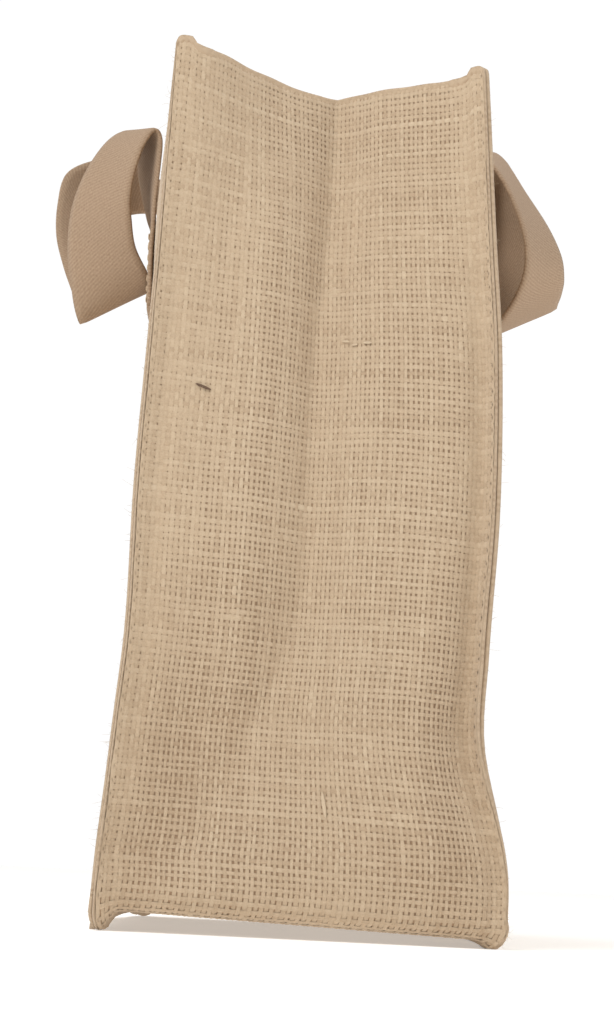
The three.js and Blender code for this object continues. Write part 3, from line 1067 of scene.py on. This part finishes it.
@dataclass
class WovenFace:
    """The outer face of a piece of cloth, with the turned hem inside its rims."""

    ends: int
    stop: float  # distance from the rim past which no weft yarn lies
    surface: Callable[[Array], Array]
    outward: Callable[[Array], Array]
    two_rims: bool
    margin: int = 0  # ends that lie on each allowance

    @property
    def shares(self) -> Array:
        """Each end's share of the width between the seams, below 0 and above 1 on the allowances."""
        return (np.arange(self.ends) - self.margin) / (self.ends - 1 - 2 * self.margin)

    def at(self, run: Array) -> tuple[Array, Array]:
        """Points and outward normals on the cloth's middle.

        Args:
            run: Distances from the rim.

        Returns:
            Points and normals, one row for each distance.
        """
        points, ahead, behind = (
            even_shares(self.surface(run + step), self.ends) for step in (0.0, 1.0, -1.0))
        normals = unit(np.cross(np.gradient(points, axis=1), ahead - behind))
        flip = np.where((normals * self.outward(run)[:, None]).sum(-1).mean(1) < 0, -1.0, 1.0)
        return points, normals * flip[:, None, None]

    def grid(self) -> tuple[Array, Array]:
        """Crossings from the rim's folded bead down the outside, and up to any other rim's bead.

        Returns:
            Crossings and their normals.
        """
        points, normals = self.at(np.arange(BEAD, self.stop, PICK_PITCH))
        lift = np.full(len(points), YARN_LIFT)
        lift[[0, -1] if self.two_rims else 0] = RIM_LIFT
        return points + normals * lift[:, None, None], normals


@dataclass(frozen=True)
class Stitch:
    """The spacing, length and thickness of a run of stitches."""

    spacing: float = 4.2
    length: float = 3.0
    thickness: float = 0.55


class StitchTree:
    """A Geometry Nodes tree that lays stitches along paths."""

    def __init__(self) -> None:
        """Build the tree with its named inputs."""
        tree = bpy.data.node_groups.new("stitch run", "GeometryNodeTree")
        nodes = Nodes(tree)
        face = tree.interface
        face.new_socket("Geometry", in_out="INPUT", socket_type="NodeSocketGeometry")
        kinds = {"Spacing": "Float", "Length": "Float", "Thickness": "Float", "Thread": "Material"}
        self.sockets = {
            name: face.new_socket(name, in_out="INPUT", socket_type=f"NodeSocket{kind}").identifier
            for name, kind in kinds.items()
        }
        face.new_socket("Geometry", in_out="OUTPUT", socket_type="NodeSocketGeometry")
        given = nodes.add("NodeGroupInput").outputs
        path = nodes.add("GeometryNodeMeshToCurve", {"Mesh": given["Geometry"]})
        even = nodes.add("GeometryNodeResampleCurve", {
            "Curve": path.outputs["Curve"], "Length": given["Spacing"]}, mode="LENGTH")
        way = nodes.add("GeometryNodeInputTangent").outputs[0]
        turn = nodes.add("FunctionNodeAlignRotationToVector", {"Vector": way}, axis="X")
        bead = nodes.add("GeometryNodeMeshUVSphere", {"Segments": 6, "Rings": 4, "Radius": 1.0})
        scale = nodes.add("ShaderNodeCombineXYZ", {
            0: given["Length"], 1: given["Thickness"], 2: given["Thickness"]})
        laid = nodes.add("GeometryNodeInstanceOnPoints", {
            "Points": even.outputs["Curve"], "Instance": bead.outputs["Mesh"],
            "Rotation": turn.outputs["Rotation"], "Scale": scale.outputs[0]})
        real = nodes.add("GeometryNodeRealizeInstances", {"Geometry": laid.outputs["Instances"]})
        soft = nodes.add("GeometryNodeSetShadeSmooth", {"Geometry": real.outputs["Geometry"]})
        dressed = nodes.add("GeometryNodeSetMaterial", {
            "Geometry": soft.outputs["Geometry"], "Material": given["Thread"]})
        nodes.add("NodeGroupOutput", {"Geometry": dressed.outputs["Geometry"]})
        self.tree = tree

    def run(
        self, name: str, paths: Sequence[Array], thread: Material, stitch: Stitch
    ) -> Object:
        """Lay stitches along paths and make them a plain mesh.

        Args:
            name: The piece's name.
            paths: Lines of points in millimetres.
            thread: The thread's finish.
            stitch: The stitches' sizes.

        Returns:
            The stitches as one object.
        """
        starts = np.cumsum([0] + [len(p) for p in paths])
        edges = [(int(s + k), int(s + k + 1)) for s, p in zip(starts, paths) for k in range(len(p) - 1)]
        mesh = bpy.data.meshes.new(f"{name}_path")
        mesh.from_pydata(in_metres(np.concatenate(paths)), edges, [])
        carrier = link(f"{name}_path", mesh)
        modifier = carrier.modifiers.new("stitches", "NODES")
        modifier.node_group = self.tree
        values = {"Spacing": stitch.spacing * MM, "Length": stitch.length / 2 * MM,
                  "Thickness": stitch.thickness / 2 * MM, "Thread": thread}
        for key, value in values.items():
            modifier[self.sockets[key]] = value
        graph = bpy.context.evaluated_depsgraph_get()
        made = bpy.data.meshes.new_from_object(carrier.evaluated_get(graph))
        made.name = name
        carrier.modifiers.remove(modifier)
        bpy.data.objects.remove(carrier)
        return link(name, made)


@dataclass
class Panel:
    """A wide face of the bag, with its allowance round three edges and its hem."""

    side: Side
    finishes: Finishes
    side_steps: int = 44
    base_steps: int = 36
    corner_steps: int = 3
    hem_steps: int = 3
    face_steps: int = 150
    face_inset: float = 0.006  # share of the width from a seam to the first yarn
    base_gap: float = 2.0  # from the last weft yarn to the base seam, at least
    opened: float = 0.6
    flat: tuple[float, float] = (0.270, 0.335)  # metres, as cut
    lock: Stitch = Stitch(2.4, 3.2, 0.45)  # the seam itself, between the layers
    lock_line: tuple[float, int, float] = (0.35, 0, 0.0)  # share of the allowance, layer, distance beyond it
    seam_line: tuple[float, int, float] = (0.4, 1, 0.95)

    def grid(self) -> tuple[Array, Array]:
        """Heights of the rows above the base seam, and distances of the columns from the near edge.

        Returns:
            Heights and distances.
        """
        low = np.arange(self.corner_steps) * CORNER_RADIUS / self.corner_steps
        edge = BAG_HEIGHT - HEM
        heights = [low, np.linspace(CORNER_RADIUS, edge - HEM_STEP, self.side_steps + 1), [edge],
                   np.linspace(edge + HEM / 4, BAG_HEIGHT - HEM_TOP, self.hem_steps),
                   BAG_HEIGHT - BEAD_ROWS[::-1, 0]]
        middle = np.linspace(CORNER_RADIUS, BAG_WIDTH - CORNER_RADIUS, self.base_steps + 1)
        return np.concatenate(heights), np.concatenate([low, middle, (BAG_WIDTH - low)[::-1]])

    def places(self) -> Spots:
        """Every place of the panel's grid, with its bottom corners rounded.

        Returns:
            Places in rows from the base up.
        """
        heights, lengths = self.grid()
        row, column = np.indices((len(heights), len(lengths)))
        far = column > (len(lengths) - 1) / 2
        from_side = np.where(far, len(lengths) - 1 - column, column)
        inset = np.where(far, BAG_WIDTH - lengths[column], lengths[column])
        corner = (from_side <= self.corner_steps) & (row <= self.corner_steps)
        left = self.corner_steps - np.minimum(from_side, row)
        turn = 45 * (1 + (from_side - row) / np.maximum(left, 1))
        radius = CORNER_RADIUS * left / self.corner_steps
        inset = np.where(corner, CORNER_RADIUS - radius * np.cos(np.radians(turn)), inset)
        up = np.where(corner, CORNER_RADIUS - radius * np.sin(np.radians(turn)), heights[row])
        facing = np.where(corner, turn, np.where(row == 0, 90.0, 0.0))
        return Spots(np.where(far, BAG_WIDTH - inset, inset) / BAG_WIDTH, up, facing, far)

    def build_sheet(self) -> Object:
        """Build the thin closed cloth under the yarns, whose faces face +x.

        Returns:
            The sheet.
        """
        spots = self.places()
        row, column = np.indices(spots.up.shape)
        bead = len(row) - 1 - row
        from_side = np.minimum(column, column[:, ::-1])
        rim = (from_side == 0) | (row == 0)
        outer = np.where(rim, CLOTH / 2, GROUND)
        clear = from_side > self.corner_steps
        inner, outer = hemmed(outer, bead, clear, spots.up >= BAG_HEIGHT - HEM)
        left = self.side is Side.LEFT
        over, under = (inner, outer) if left else (outer, inner)
        points = FORM.panel(self.side, spots.along, spots.up)
        points = points - spots.outward * np.where(rim, SEAM_BEND, 0.0)[..., None]
        sheet = Sheet()
        numbers = sheet.add(points, over, under, (spots.along * BAG_WIDTH, spots.up),
                            ~rim & (bead >= len(BEAD_ROWS)))
        sheet.join(numbers)
        ring = np.concatenate([numbers[::-1, 0], numbers[0, 1:], numbers[1:, -1]])
        edge = spots.pick(ring)
        seams = FORM.seams(self.side, edge)
        out = edge.outward * ALLOWANCE * FIN_SHARES[:, None, None]
        flat = (edge.along * BAG_WIDTH + out[..., 1], edge.up + out[..., 2])
        fins = sheet.add(np.swapaxes(seams.fins(1), 0, 1), CLOTH / 2, CLOTH / 2, flat)
        sheet.draw_out(fins[-1], seams, edge.facing == 90)
        sheet.join(np.concatenate([ring[None], fins])[::-1])
        return sheet.build(f"panel_{self.side.word}_cloth", self.finishes.ground, not left)

    def face(self) -> WovenFace:
        """The panel's woven face, from its rim down.

        Returns:
            The face.
        """
        along = np.linspace(self.face_inset, 1 - self.face_inset, self.face_steps)[None]

        def surface(run: Array) -> Array:
            """Points on the panel at distances below the rim."""
            return FORM.panel(self.side, *np.broadcast_arrays(along, (BAG_HEIGHT - run)[:, None]))

        def outward(run: Array) -> Array:
            """The way out of the bag."""
            return np.repeat(self.side.across[None], len(run), 0)

        return WovenFace(round(BAG_WIDTH / END_PITCH), BAG_HEIGHT - self.base_gap, surface, outward, False)

    def build(self, stitches: StitchTree) -> list[Object]:
        """Build the panel's cloth, yarns and seam stitching.

        Args:
            stitches: The stitch tree.

        Returns:
            The panel's pieces.
        """
        name = f"panel_{self.side.word}"
        sheet = self.build_sheet()
        points, normals = self.face().grid()
        opened = np.full(points.shape[:2], self.opened)
        weave = Weave(name, points, normals, opened, np.zeros_like(opened))
        yarns = weave.build(self.finishes.yarn)
        thread = self.finishes.thread
        sewing = [
            stitches.run(f"{name}_seam", [self.seam_path(*self.lock_line)], thread, self.lock),
            stitches.run(f"{name}_seam_stitch", [self.seam_path(*self.seam_line)], thread, Stitch()),
        ]
        pieces = [sheet, *yarns, *sewing]
        settle(pieces)
        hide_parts(name)
        return pieces

    def seam_path(self, share: float, layer: int, off: float) -> Array:
        """A line of seam stitching along the allowance, down, under and up.

        Args:
            share: Share of the allowance's width, from the seam.
            layer: 1 on the panel's layer, or 0 between the layers.
            off: Distance beyond the middle of that layer.

        Returns:
            Points on the line.
        """
        from_rim, steps = 4.0, 420
        run = np.linspace(from_rim, FORM.strip_length - from_rim, steps)
        seams = FORM.seams(self.side, FORM.edge_places(run))
        points = seams.fin(share, layer) + seams.to_panel * off
        points[:, 2] = np.maximum(points[:, 2], FLOOR_GAP["stitch"])
        return points


@dataclass(frozen=True)
class Lump:
    """A long lump that lies on the gusset's yarns."""

    share: float  # of the width
    run: float  # distance from the rim
    length: float
    width: float
    angle: float  # below level


@dataclass
class Gusset:
    """The strip that makes both ends and the base, with an allowance along both edges."""

    finishes: Finishes
    step: float = 2.5
    body_steps: int = 68
    corner_steps: int = 8
    base_steps: int = 20
    hem_steps: int = 4
    face_steps: int = 140
    seam_steps: int = 2  # columns by each seam that the hem keeps clear of
    width: float = 122.0  # between the seams' bends, on the flat cloth
    ends: int = 75  # warp yarns from edge to edge
    margin: int = 4  # ends that lie on each allowance
    open_left: tuple[float, float, float] = (-0.03, 0.07, 0.42)  # start, reach low down, growth up to the rim
    open_right: Fade = Fade(0.99, -0.07)  # in shares of the width
    open_base: Fade = Fade(8.0, 10.0)  # in heights
    open_most: tuple[float, float] = (0.98, 0.25)  # low down, and what is lost up to the rim
    patchiness: float = 0.12
    patch_opening: float = 0.35  # how much the weave opens on the patches of painted shade
    # the patches of painted shade: left of the slanting crease, and by the right seam
    worn_left: tuple[Fade, Fade] = (Fade(-0.05, 0.07), Fade(140.0, -70.0))  # in shares, and in heights
    worn_right: tuple[Fade, Fade, Fade] = (Fade(0.8, 0.12), Fade(1.06, -0.05), Fade(150.0, -70.0))
    crease_fade: float = 0.1
    flat: tuple[float, float] = (0.141, 0.925)  # metres, as cut
    lump_tone: float = 0.8
    flecks: tuple[Lump, ...] = (Lump(0.103, 123.0, 5.8, 1.0, 14.0),)
    slubs: tuple[Lump, ...] = (
        Lump(0.573, 99.0, 3.2, 1.0, 5.0), Lump(0.613, 100.5, 2.6, 0.9, -4.0),
        Lump(0.652, 100.0, 3.4, 1.0, 3.0), Lump(0.562, 263.5, 9.0, 1.4, 84.0),
    )

    def runs(self) -> Array:
        """Distances of the lines along the strip, closer at its corners and hems.

        Returns:
            Distances from the near rim.
        """
        side, corner = FORM.side_run, FORM.corner_run
        first = np.concatenate([
            BEAD_ROWS[:, 0], np.linspace(HEM_TOP, HEM, self.hem_steps), [HEM + HEM_STEP],
            np.linspace(HEM + 2 * HEM_STEP, side, round((side - HEM) / self.step)),
            side + corner * np.arange(1, self.corner_steps + 1) / self.corner_steps,
            np.linspace(side + corner, FORM.strip_length / 2, self.base_steps)[1:],
        ])
        return np.concatenate([first, (FORM.strip_length - first[:-1])[::-1]])

    def build_sheet(self) -> Object:
        """Build the thin closed cloth under the yarns.

        Returns:
            The sheet.
        """
        runs = self.runs()
        spots = FORM.edge_places(runs)
        left, right = (FORM.seams(side, spots) for side in Side)
        shares = np.linspace(0, 1, self.body_steps + 1)
        points = np.concatenate([left.fins(-1)[:, ::-1], FORM.gusset(runs, shares), right.fins(-1)], 1)
        reach = ALLOWANCE * FIN_SHARES
        flat = np.concatenate([-reach[::-1], shares * self.width, self.width + reach])
        fin = np.concatenate([FIN_SHARES[::-1], np.zeros_like(shares), FIN_SHARES])
        column = np.arange(len(fin)) - len(FIN_SHARES)
        clear = (column > self.seam_steps) & (column < self.body_steps - self.seam_steps)
        line = np.arange(len(runs))[:, None]
        bead = np.minimum(line, line[::-1])
        woven = bead >= len(BEAD_ROWS)
        outer = np.where(woven & (fin < 1), GROUND, np.where(fin > 0, LIP, CLOTH / 2))
        in_hem = np.minimum(runs, FORM.strip_length - runs)[:, None] <= HEM
        inner, outer = hemmed(outer, bead, clear, in_hem)
        sheet = Sheet()
        numbers = sheet.add(points, inner, outer, (flat, runs[:, None]), woven & (fin < FIN_SHARES[-3]))
        sheet.draw_out(numbers[:, 0], left, spots.facing == 90)
        sheet.draw_out(numbers[:, -1], right, spots.facing == 90)
        sheet.join(numbers)
        return sheet.build("gusset_cloth", self.finishes.ground, False)

    def face(self) -> WovenFace:
        """The strip's woven face, from rim to rim and from edge to edge.

        Returns:
            The face.
        """
        shares = np.linspace(0, 1, self.face_steps)

        def surface(run: Array) -> Array:
            """Points on the strip and its allowances, from the left edge to the right one."""
            spots = FORM.edge_places(run)
            left, right = (FORM.seams(side, spots).fins(-1)[:, :-1] for side in Side)
            return np.concatenate([left[:, ::-1], FORM.gusset(run, shares), right], 1)

        def outward(run: Array) -> Array:
            """The way out of the bag."""
            return FORM.edge_places(run).outward

        return WovenFace(self.ends, FORM.strip_length - BEAD, surface, outward, True, self.margin)

    def openness(self, points: Array, share: Array) -> Array:
        """How open the weave is: closer along both seams and at the upper left, open at the lower right.

        Args:
            points: The grid of crossings.
            share: The ends' shares of the width.

        Returns:
            From 0 for close to 1 for open, at each crossing.
        """
        height = np.clip(points[..., 2] / BAG_HEIGHT, 0, 1)
        start, reach, growth = self.open_left
        sides = Fade(start, reach + growth * height).at(share) * self.open_right.at(share)
        most, lost = self.open_most
        opened = sides * self.open_base.at(points[..., 2]) * (most - lost * height)
        patches = np.sin(9.0 * share + 7.0 * height) * np.sin(13.0 * height - 5.0 * share)
        return np.clip(opened + self.patchiness * patches, 0, 1.1)

    def worn(self, points: Array, share: Array) -> Array:
        """The patches of painted shade, where the form lies in shade: low on the near end, left of the
        slanting crease and by the right seam.

        Args:
            points: The grid of crossings.
            share: The ends' shares of the width.

        Returns:
            From 0 off them to 1 on them, at each crossing.
        """
        height = points[..., 2]
        crease = Fade(SLANT.read("share", BAG_HEIGHT - height), -self.crease_fade)
        left_edge, left_top = self.worn_left
        left = crease.at(share) * left_edge.at(share) * left_top.at(height)
        begin, right_edge, right_top = self.worn_right
        right = begin.at(share) * right_edge.at(share) * right_top.at(height)
        return np.where(points[..., 1] < -BAG_WIDTH / 4, left + right, 0)

    def build(self) -> list[Object]:
        """Build the strip's cloth, yarns, fleck and slubs.

        Returns:
            The strip's pieces.
        """
        sheet = self.build_sheet()
        face = self.face()
        points, normals = face.grid()
        share = face.shares[None, :]
        # painted shade in the yarns' tone on these patches, where the weave also opens
        worn = self.worn(points, share)
        weave = Weave("gusset", points, normals, self.openness(points, share) + self.patch_opening * worn, worn)
        yarns = weave.build(self.finishes.yarn)
        extra = [
            self.build_lumps("gusset_fleck", face, self.flecks, self.finishes.bark),
            self.build_lumps("gusset_slubs", face, self.slubs, self.finishes.yarn),
        ]
        pieces = [sheet, *yarns, *extra]
        settle(pieces)
        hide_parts("gusset")
        return pieces

    def build_lumps(
        self, name: str, face: WovenFace, lumps: Sequence[Lump], material: Material
    ) -> Object:
        """Build long lumps that lie on the yarns.

        Args:
            name: The piece's name.
            face: The woven face.
            lumps: The lumps.
            material: The finish.

        Returns:
            The lumps as one object.
        """
        rings, sides = 9, 8
        around = np.arange(sides) * 2 * np.pi / sides
        along = np.repeat(np.linspace(-1, 1, rings)[:, None], sides, 1)
        girth = np.sqrt(np.maximum(1 - along**2, 0.02))
        form = np.stack([along, girth * np.cos(around), girth * np.sin(around)], -1).reshape(-1, 3)
        points = []
        for lump in lumps:
            spots, normals = face.at(np.array([lump.run, lump.run + 1.0]))
            end = int(np.argmin(np.abs(face.shares - lump.share)))
            level = unit(spots[0, end + 1] - spots[0, end - 1])
            down = unit(spots[1, end] - spots[0, end])
            angle = math.radians(lump.angle)
            way = level * math.cos(angle) + down * math.sin(angle)
            above = normals[0, end]
            over = np.cross(above, way)
            frame = np.stack([way * lump.length / 2, over * lump.width / 2, above * lump.width / 3])
            points.append(spots[0, end] + above * ON_YARNS + form @ frame)
        number = np.arange(len(lumps) * rings * sides).reshape(len(lumps), rings, sides)
        return make_object(name, np.concatenate(points), quads(number, True), material,
                           {"tone": np.full(number.size, self.lump_tone)})


@dataclass
class Fibres:
    """Loose jute fibres that stand out of the allowances' raw edges and lie over the gusset's faces."""

    finishes: Finishes
    edge_count: int = 1500
    face_count: int = 900
    thickness: float = 0.11
    root_share: float = 0.97  # of the allowance's width
    root_lift: float = 1.1  # from the cloth's middle
    lie: float = 0.35  # how far the fibres on the faces stand up
    scatter: float = 0.45
    bend: float = 0.5
    curl: float = 0.6
    taper: float = 0.5
    edge_spread: float = 0.7  # through an edge's thickness
    rim_gap: float = 2.0
    lengths: tuple[float, float, float] = (3.0, 0.42, 0.4)  # shape and scale of their spread, and the least
    tones: tuple[float, float] = (0.35, 0.95)
    corners: int = 3
    rings: tuple[float, ...] = (0.0, 0.35, 0.7, 1.0)  # shares of the length

    def roots(self, rng: np.random.Generator) -> tuple[Array, Array]:
        """Where the fibres start and the ways that they go.

        Args:
            rng: The seeded source of numbers.

        Returns:
            Starting points and ways.
        """
        points, ways = [], []
        last = FORM.strip_length - self.rim_gap
        for side in Side:
            for layer in (1, -1):
                run = np.sort(rng.uniform(self.rim_gap, last, self.edge_count // 4))
                seams = FORM.seams(side, FORM.edge_places(run))
                out = layer * rng.uniform(0, self.edge_spread, (len(run), 1))
                points.append(seams.fin(self.root_share, layer) + seams.to_panel * out)
                ways.append(seams.stands)
        face = Gusset(self.finishes).face()
        rows, normals = face.at(np.sort(rng.uniform(3, FORM.side_run, self.face_count)))
        pick = np.arange(self.face_count), rng.integers(0, face.ends, self.face_count)
        points.append(rows[pick] + normals[pick] * self.root_lift)
        ways.append(normals[pick] * self.lie)
        return np.concatenate(points), np.concatenate(ways)

    def build(self) -> Object:
        """Build the fibres as bent three-sided threads.

        Returns:
            The fibres as one object.
        """
        rng = np.random.default_rng(SEEDS["fibres"])
        roots, ways = self.roots(rng)
        count = len(roots)
        ways = unit(ways + rng.normal(0, self.scatter, (count, 3)))
        bends = rng.normal(0, self.bend, (count, 3))
        shape, scale, least = self.lengths
        length = rng.gamma(shape, scale, (count, 1)) + least
        first = unit(np.cross(ways, unit(rng.normal(0, 1, (count, 3)))))
        second = np.cross(ways, first)
        around = np.arange(self.corners) * 2 * np.pi / self.corners
        corners = [first * math.cos(a) + second * math.sin(a) for a in around]
        rings = []
        for share in self.rings:
            middle = roots + ways * length * share + bends * length * share**2 * self.curl
            radius = self.thickness / 2 * (1 - self.taper * share)
            rings.append(np.stack([middle + corner * radius for corner in corners], 1))
        points = np.stack(rings, 1)
        points[..., 2] = np.maximum(points[..., 2], FLOOR_GAP["fibre"])
        number = np.arange(points.size // 3).reshape(points.shape[:-1])
        tone = np.repeat(rng.uniform(*self.tones, count), number[0].size)
        obj = make_object("loose_fibres", points.reshape(-1, 3), quads(number, True), self.finishes.yarn,
                          {"tone": tone})
        settle([obj])
        return obj


@dataclass
class Handle:
    """A webbing loop sewn flat to a panel at both ends."""

    side: Side
    finishes: Finishes
    steps: int = 260
    lanes: int = 12
    edge_thinning: float = 0.45
    box: tuple[float, float] = (3.0, 27.0)  # from a sewn end to the start and end of its stitching
    box_lift: float = 0.15
    stitch: Stitch = Stitch(3.6, 2.8, 0.7)

    def path(self) -> tuple[Array, Array]:
        """Points on the strap's middle and the distance along it.

        Returns:
            Points in lines across the strap, and each line's distance from the start.
        """
        rows = STRAP_ROWS[self.side]
        table = Table(STRAP_COLUMNS, tuple((k, *row) for k, row in enumerate(rows)))
        at = np.linspace(0, len(rows) - 1, self.steps + 1)
        out, y, z, turn, rise = (table.read(column, at)[:, None] for column in STRAP_COLUMNS[1:])
        turn, rise = np.radians(turn), np.radians(rise)
        reach = (np.linspace(-0.5, 0.5, self.lanes + 1) * STRAP_WIDTH)[None]
        y = y + reach * np.cos(rise) * np.cos(turn)
        z = z + reach * np.sin(rise)
        away = np.maximum(out, 0) + reach * np.cos(rise) * np.sin(turn)
        along = y / BAG_WIDTH + 0.5
        low, high = (FORM.panel(self.side, along, np.full_like(along, up))[..., 2] for up in (0, BAG_HEIGHT))
        up = BAG_HEIGHT * (z - low) / (high - low)
        seat = (CLOTH + STRAP_THICKNESS) / 2 + CLEARANCE
        x = FORM.panel(self.side, along, up)[..., 0] + self.side.value * (seat + away)
        points = np.stack([x, y, z], -1)
        steps = np.linalg.norm(np.diff(points[:, self.lanes // 2], axis=0), axis=1)
        return points, np.concatenate([[0], np.cumsum(steps)])

    def build_strap(self) -> tuple[Object, float]:
        """Build the webbing.

        Returns:
            The strap and its length in millimetres.
        """
        points, run = self.path()
        share = np.linspace(-0.5, 0.5, self.lanes + 1)
        thin = STRAP_THICKNESS / 2 * (1 - self.edge_thinning * np.abs(2 * share) ** 12)
        sheet = Sheet()
        numbers = sheet.add(points, thin, thin, (run[:, None], share * STRAP_WIDTH))
        sheet.join(numbers if self.side is Side.LEFT else numbers[:, ::-1])
        return sheet.build(f"handle_{self.side.word}_webbing", self.finishes.webbing, True), float(run[-1])

    def stitch_paths(self) -> list[Array]:
        """A crossed box of stitching on each sewn end.

        Returns:
            Lines of points on the webbing's outer face.
        """
        points, run = self.path()
        points = points + self.side.across * (STRAP_THICKNESS / 2 + self.box_lift)
        paths = []
        for distance in (run, run[-1] - run):
            first, last = (points[int(np.argmin(np.abs(distance - end)))] for end in self.box)
            a, b, c, d = first[1], first[-2], last[-2], last[1]
            for start, end in ((a, b), (b, c), (c, d), (d, a), (a, c), (b, d)):
                paths.append(np.linspace(start, end, 12))
        return paths

    def build(self, stitches: StitchTree) -> list[Object]:
        """Build the strap and its stitching.

        Args:
            stitches: The stitch tree.

        Returns:
            The handle's pieces.
        """
        name = f"handle_{self.side.word}"
        strap, length = self.build_strap()
        sewing = stitches.run(f"{name}_stitch", self.stitch_paths(), self.finishes.thread, self.stitch)
        settle([strap, sewing])
        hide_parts(name)
        return [strap, sewing]


@dataclass(frozen=True)
class Lamp:
    """A square lamp: its place and size in metres and its power."""

    name: str
    place: tuple[float, float, float]
    size: float
    power: float


def facing(right: Array, ahead: Array, place: Sequence[float]) -> Matrix:
    """The matrix of a camera or lamp that looks ahead from a place."""
    turn = Matrix(np.stack([right, np.cross(right, ahead), -ahead], 1).tolist()).to_4x4()
    return Matrix.Translation(place) @ turn


@dataclass(frozen=True)
class Studio:
    """Camera, floor and soft light."""

    distance: float = 900.35
    height: float = 22.21
    across: float = -3.63
    pitch: float = 9.0
    roll: float = 2.8
    lens: float = 80.0
    sensor: float = 36.0
    front: float = 0.4  # the surround's strength on the camera's side
    behind: float = 1.02
    blend: float = 0.4  # half the belt between them
    floor_reach: float = 6000.0
    floor_drop: float = 0.2
    aim: tuple[float, float, float] = (0, 0, 0.15)
    lamps: tuple[Lamp, ...] = (
        Lamp("key", (-0.8, -1.1, 1.6), 0.9, 22.0), Lamp("fill", (1.4, -0.8, 0.6), 1.0, 6.0))

    def build_camera(self) -> None:
        """Make the scene's camera at the photograph's viewing angle."""
        data = bpy.data.cameras.new("camera")
        data.lens = self.lens
        data.sensor_width = self.sensor
        data.clip_start = 0.01
        pitch, roll = math.radians(self.pitch), math.radians(self.roll)
        level = np.array([1.0, 0, 0])
        ahead = np.array([0, math.cos(pitch), math.sin(pitch)])
        right = level * math.cos(roll) + np.cross(level, ahead) * math.sin(roll)
        camera = link("camera", data)
        camera.matrix_world = facing(
            right, ahead, in_metres(np.array([self.across, -self.distance, self.height])))
        bpy.context.scene.camera = camera

    def build_floor(self) -> None:
        """Make the pale floor."""
        corners = np.array([[-1, -1, 0], [1, -1, 0], [1, 1, 0], [-1, 1, 0]]) * self.floor_reach
        table = LitTable("matt white acrylic", roughness=0.9).build()
        floor = make_object("floor", corners, np.array([[0, 1, 2, 3]]), table)
        floor.location.z = -self.floor_drop * MM

    def build_light(self) -> None:
        """Make a near-white surround, softer on the camera's side, and two large lamps."""
        world = bpy.data.worlds.new("studio")
        world.use_nodes = True
        nodes = Nodes(world.node_tree)
        way = nodes.split(nodes.add("ShaderNodeTexCoord").outputs["Generated"])
        back = nodes.add("ShaderNodeMapRange", {
            "Value": way[1], "From Min": -self.blend, "From Max": self.blend,
            "To Min": self.front, "To Max": self.behind})
        seen = nodes.add("ShaderNodeLightPath").outputs["Is Camera Ray"]
        shown = nodes.add("ShaderNodeMix", {0: seen, 2: back.outputs["Result"], 3: self.behind})
        nodes.fill(nodes.tree.nodes["Background"], {
            "Strength": shown.outputs[0], "Color": (1.0, 1.0, 1.0, 1.0)})
        bpy.context.scene.world = world
        for lamp in self.lamps:
            data = bpy.data.lights.new(lamp.name, "AREA")
            data.size = lamp.size
            data.energy = lamp.power
            ahead = unit(np.array(self.aim) - lamp.place)
            right = unit(np.cross(ahead, [0, 0, 1.0]))
            link(lamp.name, data).matrix_world = facing(right, ahead, lamp.place)
        bpy.context.scene.view_settings.view_transform = "Standard"


def main() -> None:
    """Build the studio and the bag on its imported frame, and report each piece."""
    logging.basicConfig(level=logging.INFO, format="%(name)s: %(message)s")
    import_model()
    studio = Studio()
    studio.build_camera()
    finishes = Finishes(
        JuteYarn("spun jute yarn", roughness=0.95, sheen=0.15).build(),
        JuteGround("woven jute cloth", roughness=0.95, sheen=0.1).build(),
        CottonWebbing("cotton twill webbing", roughness=0.9, sheen=0.05).build(),
        CottonThread("cotton sewing thread", roughness=0.8).build(),
        CottonThread("jute bark", roughness=0.9, colour="#6C584A").build(),
    )
    stitches = StitchTree()
    pieces = []
    for side in Side:
        pieces += Panel(side, finishes).build(stitches)
    pieces += Gusset(finishes).build()
    for side in Side:
        pieces += Handle(side, finishes).build(stitches)
    pieces.append(Fibres(finishes).build())
    for piece in pieces:
        log.info("%s: %d faces", piece.name, len(piece.data.polygons))
    studio.build_floor()
    studio.build_light()


if __name__ == "__main__":
    main()
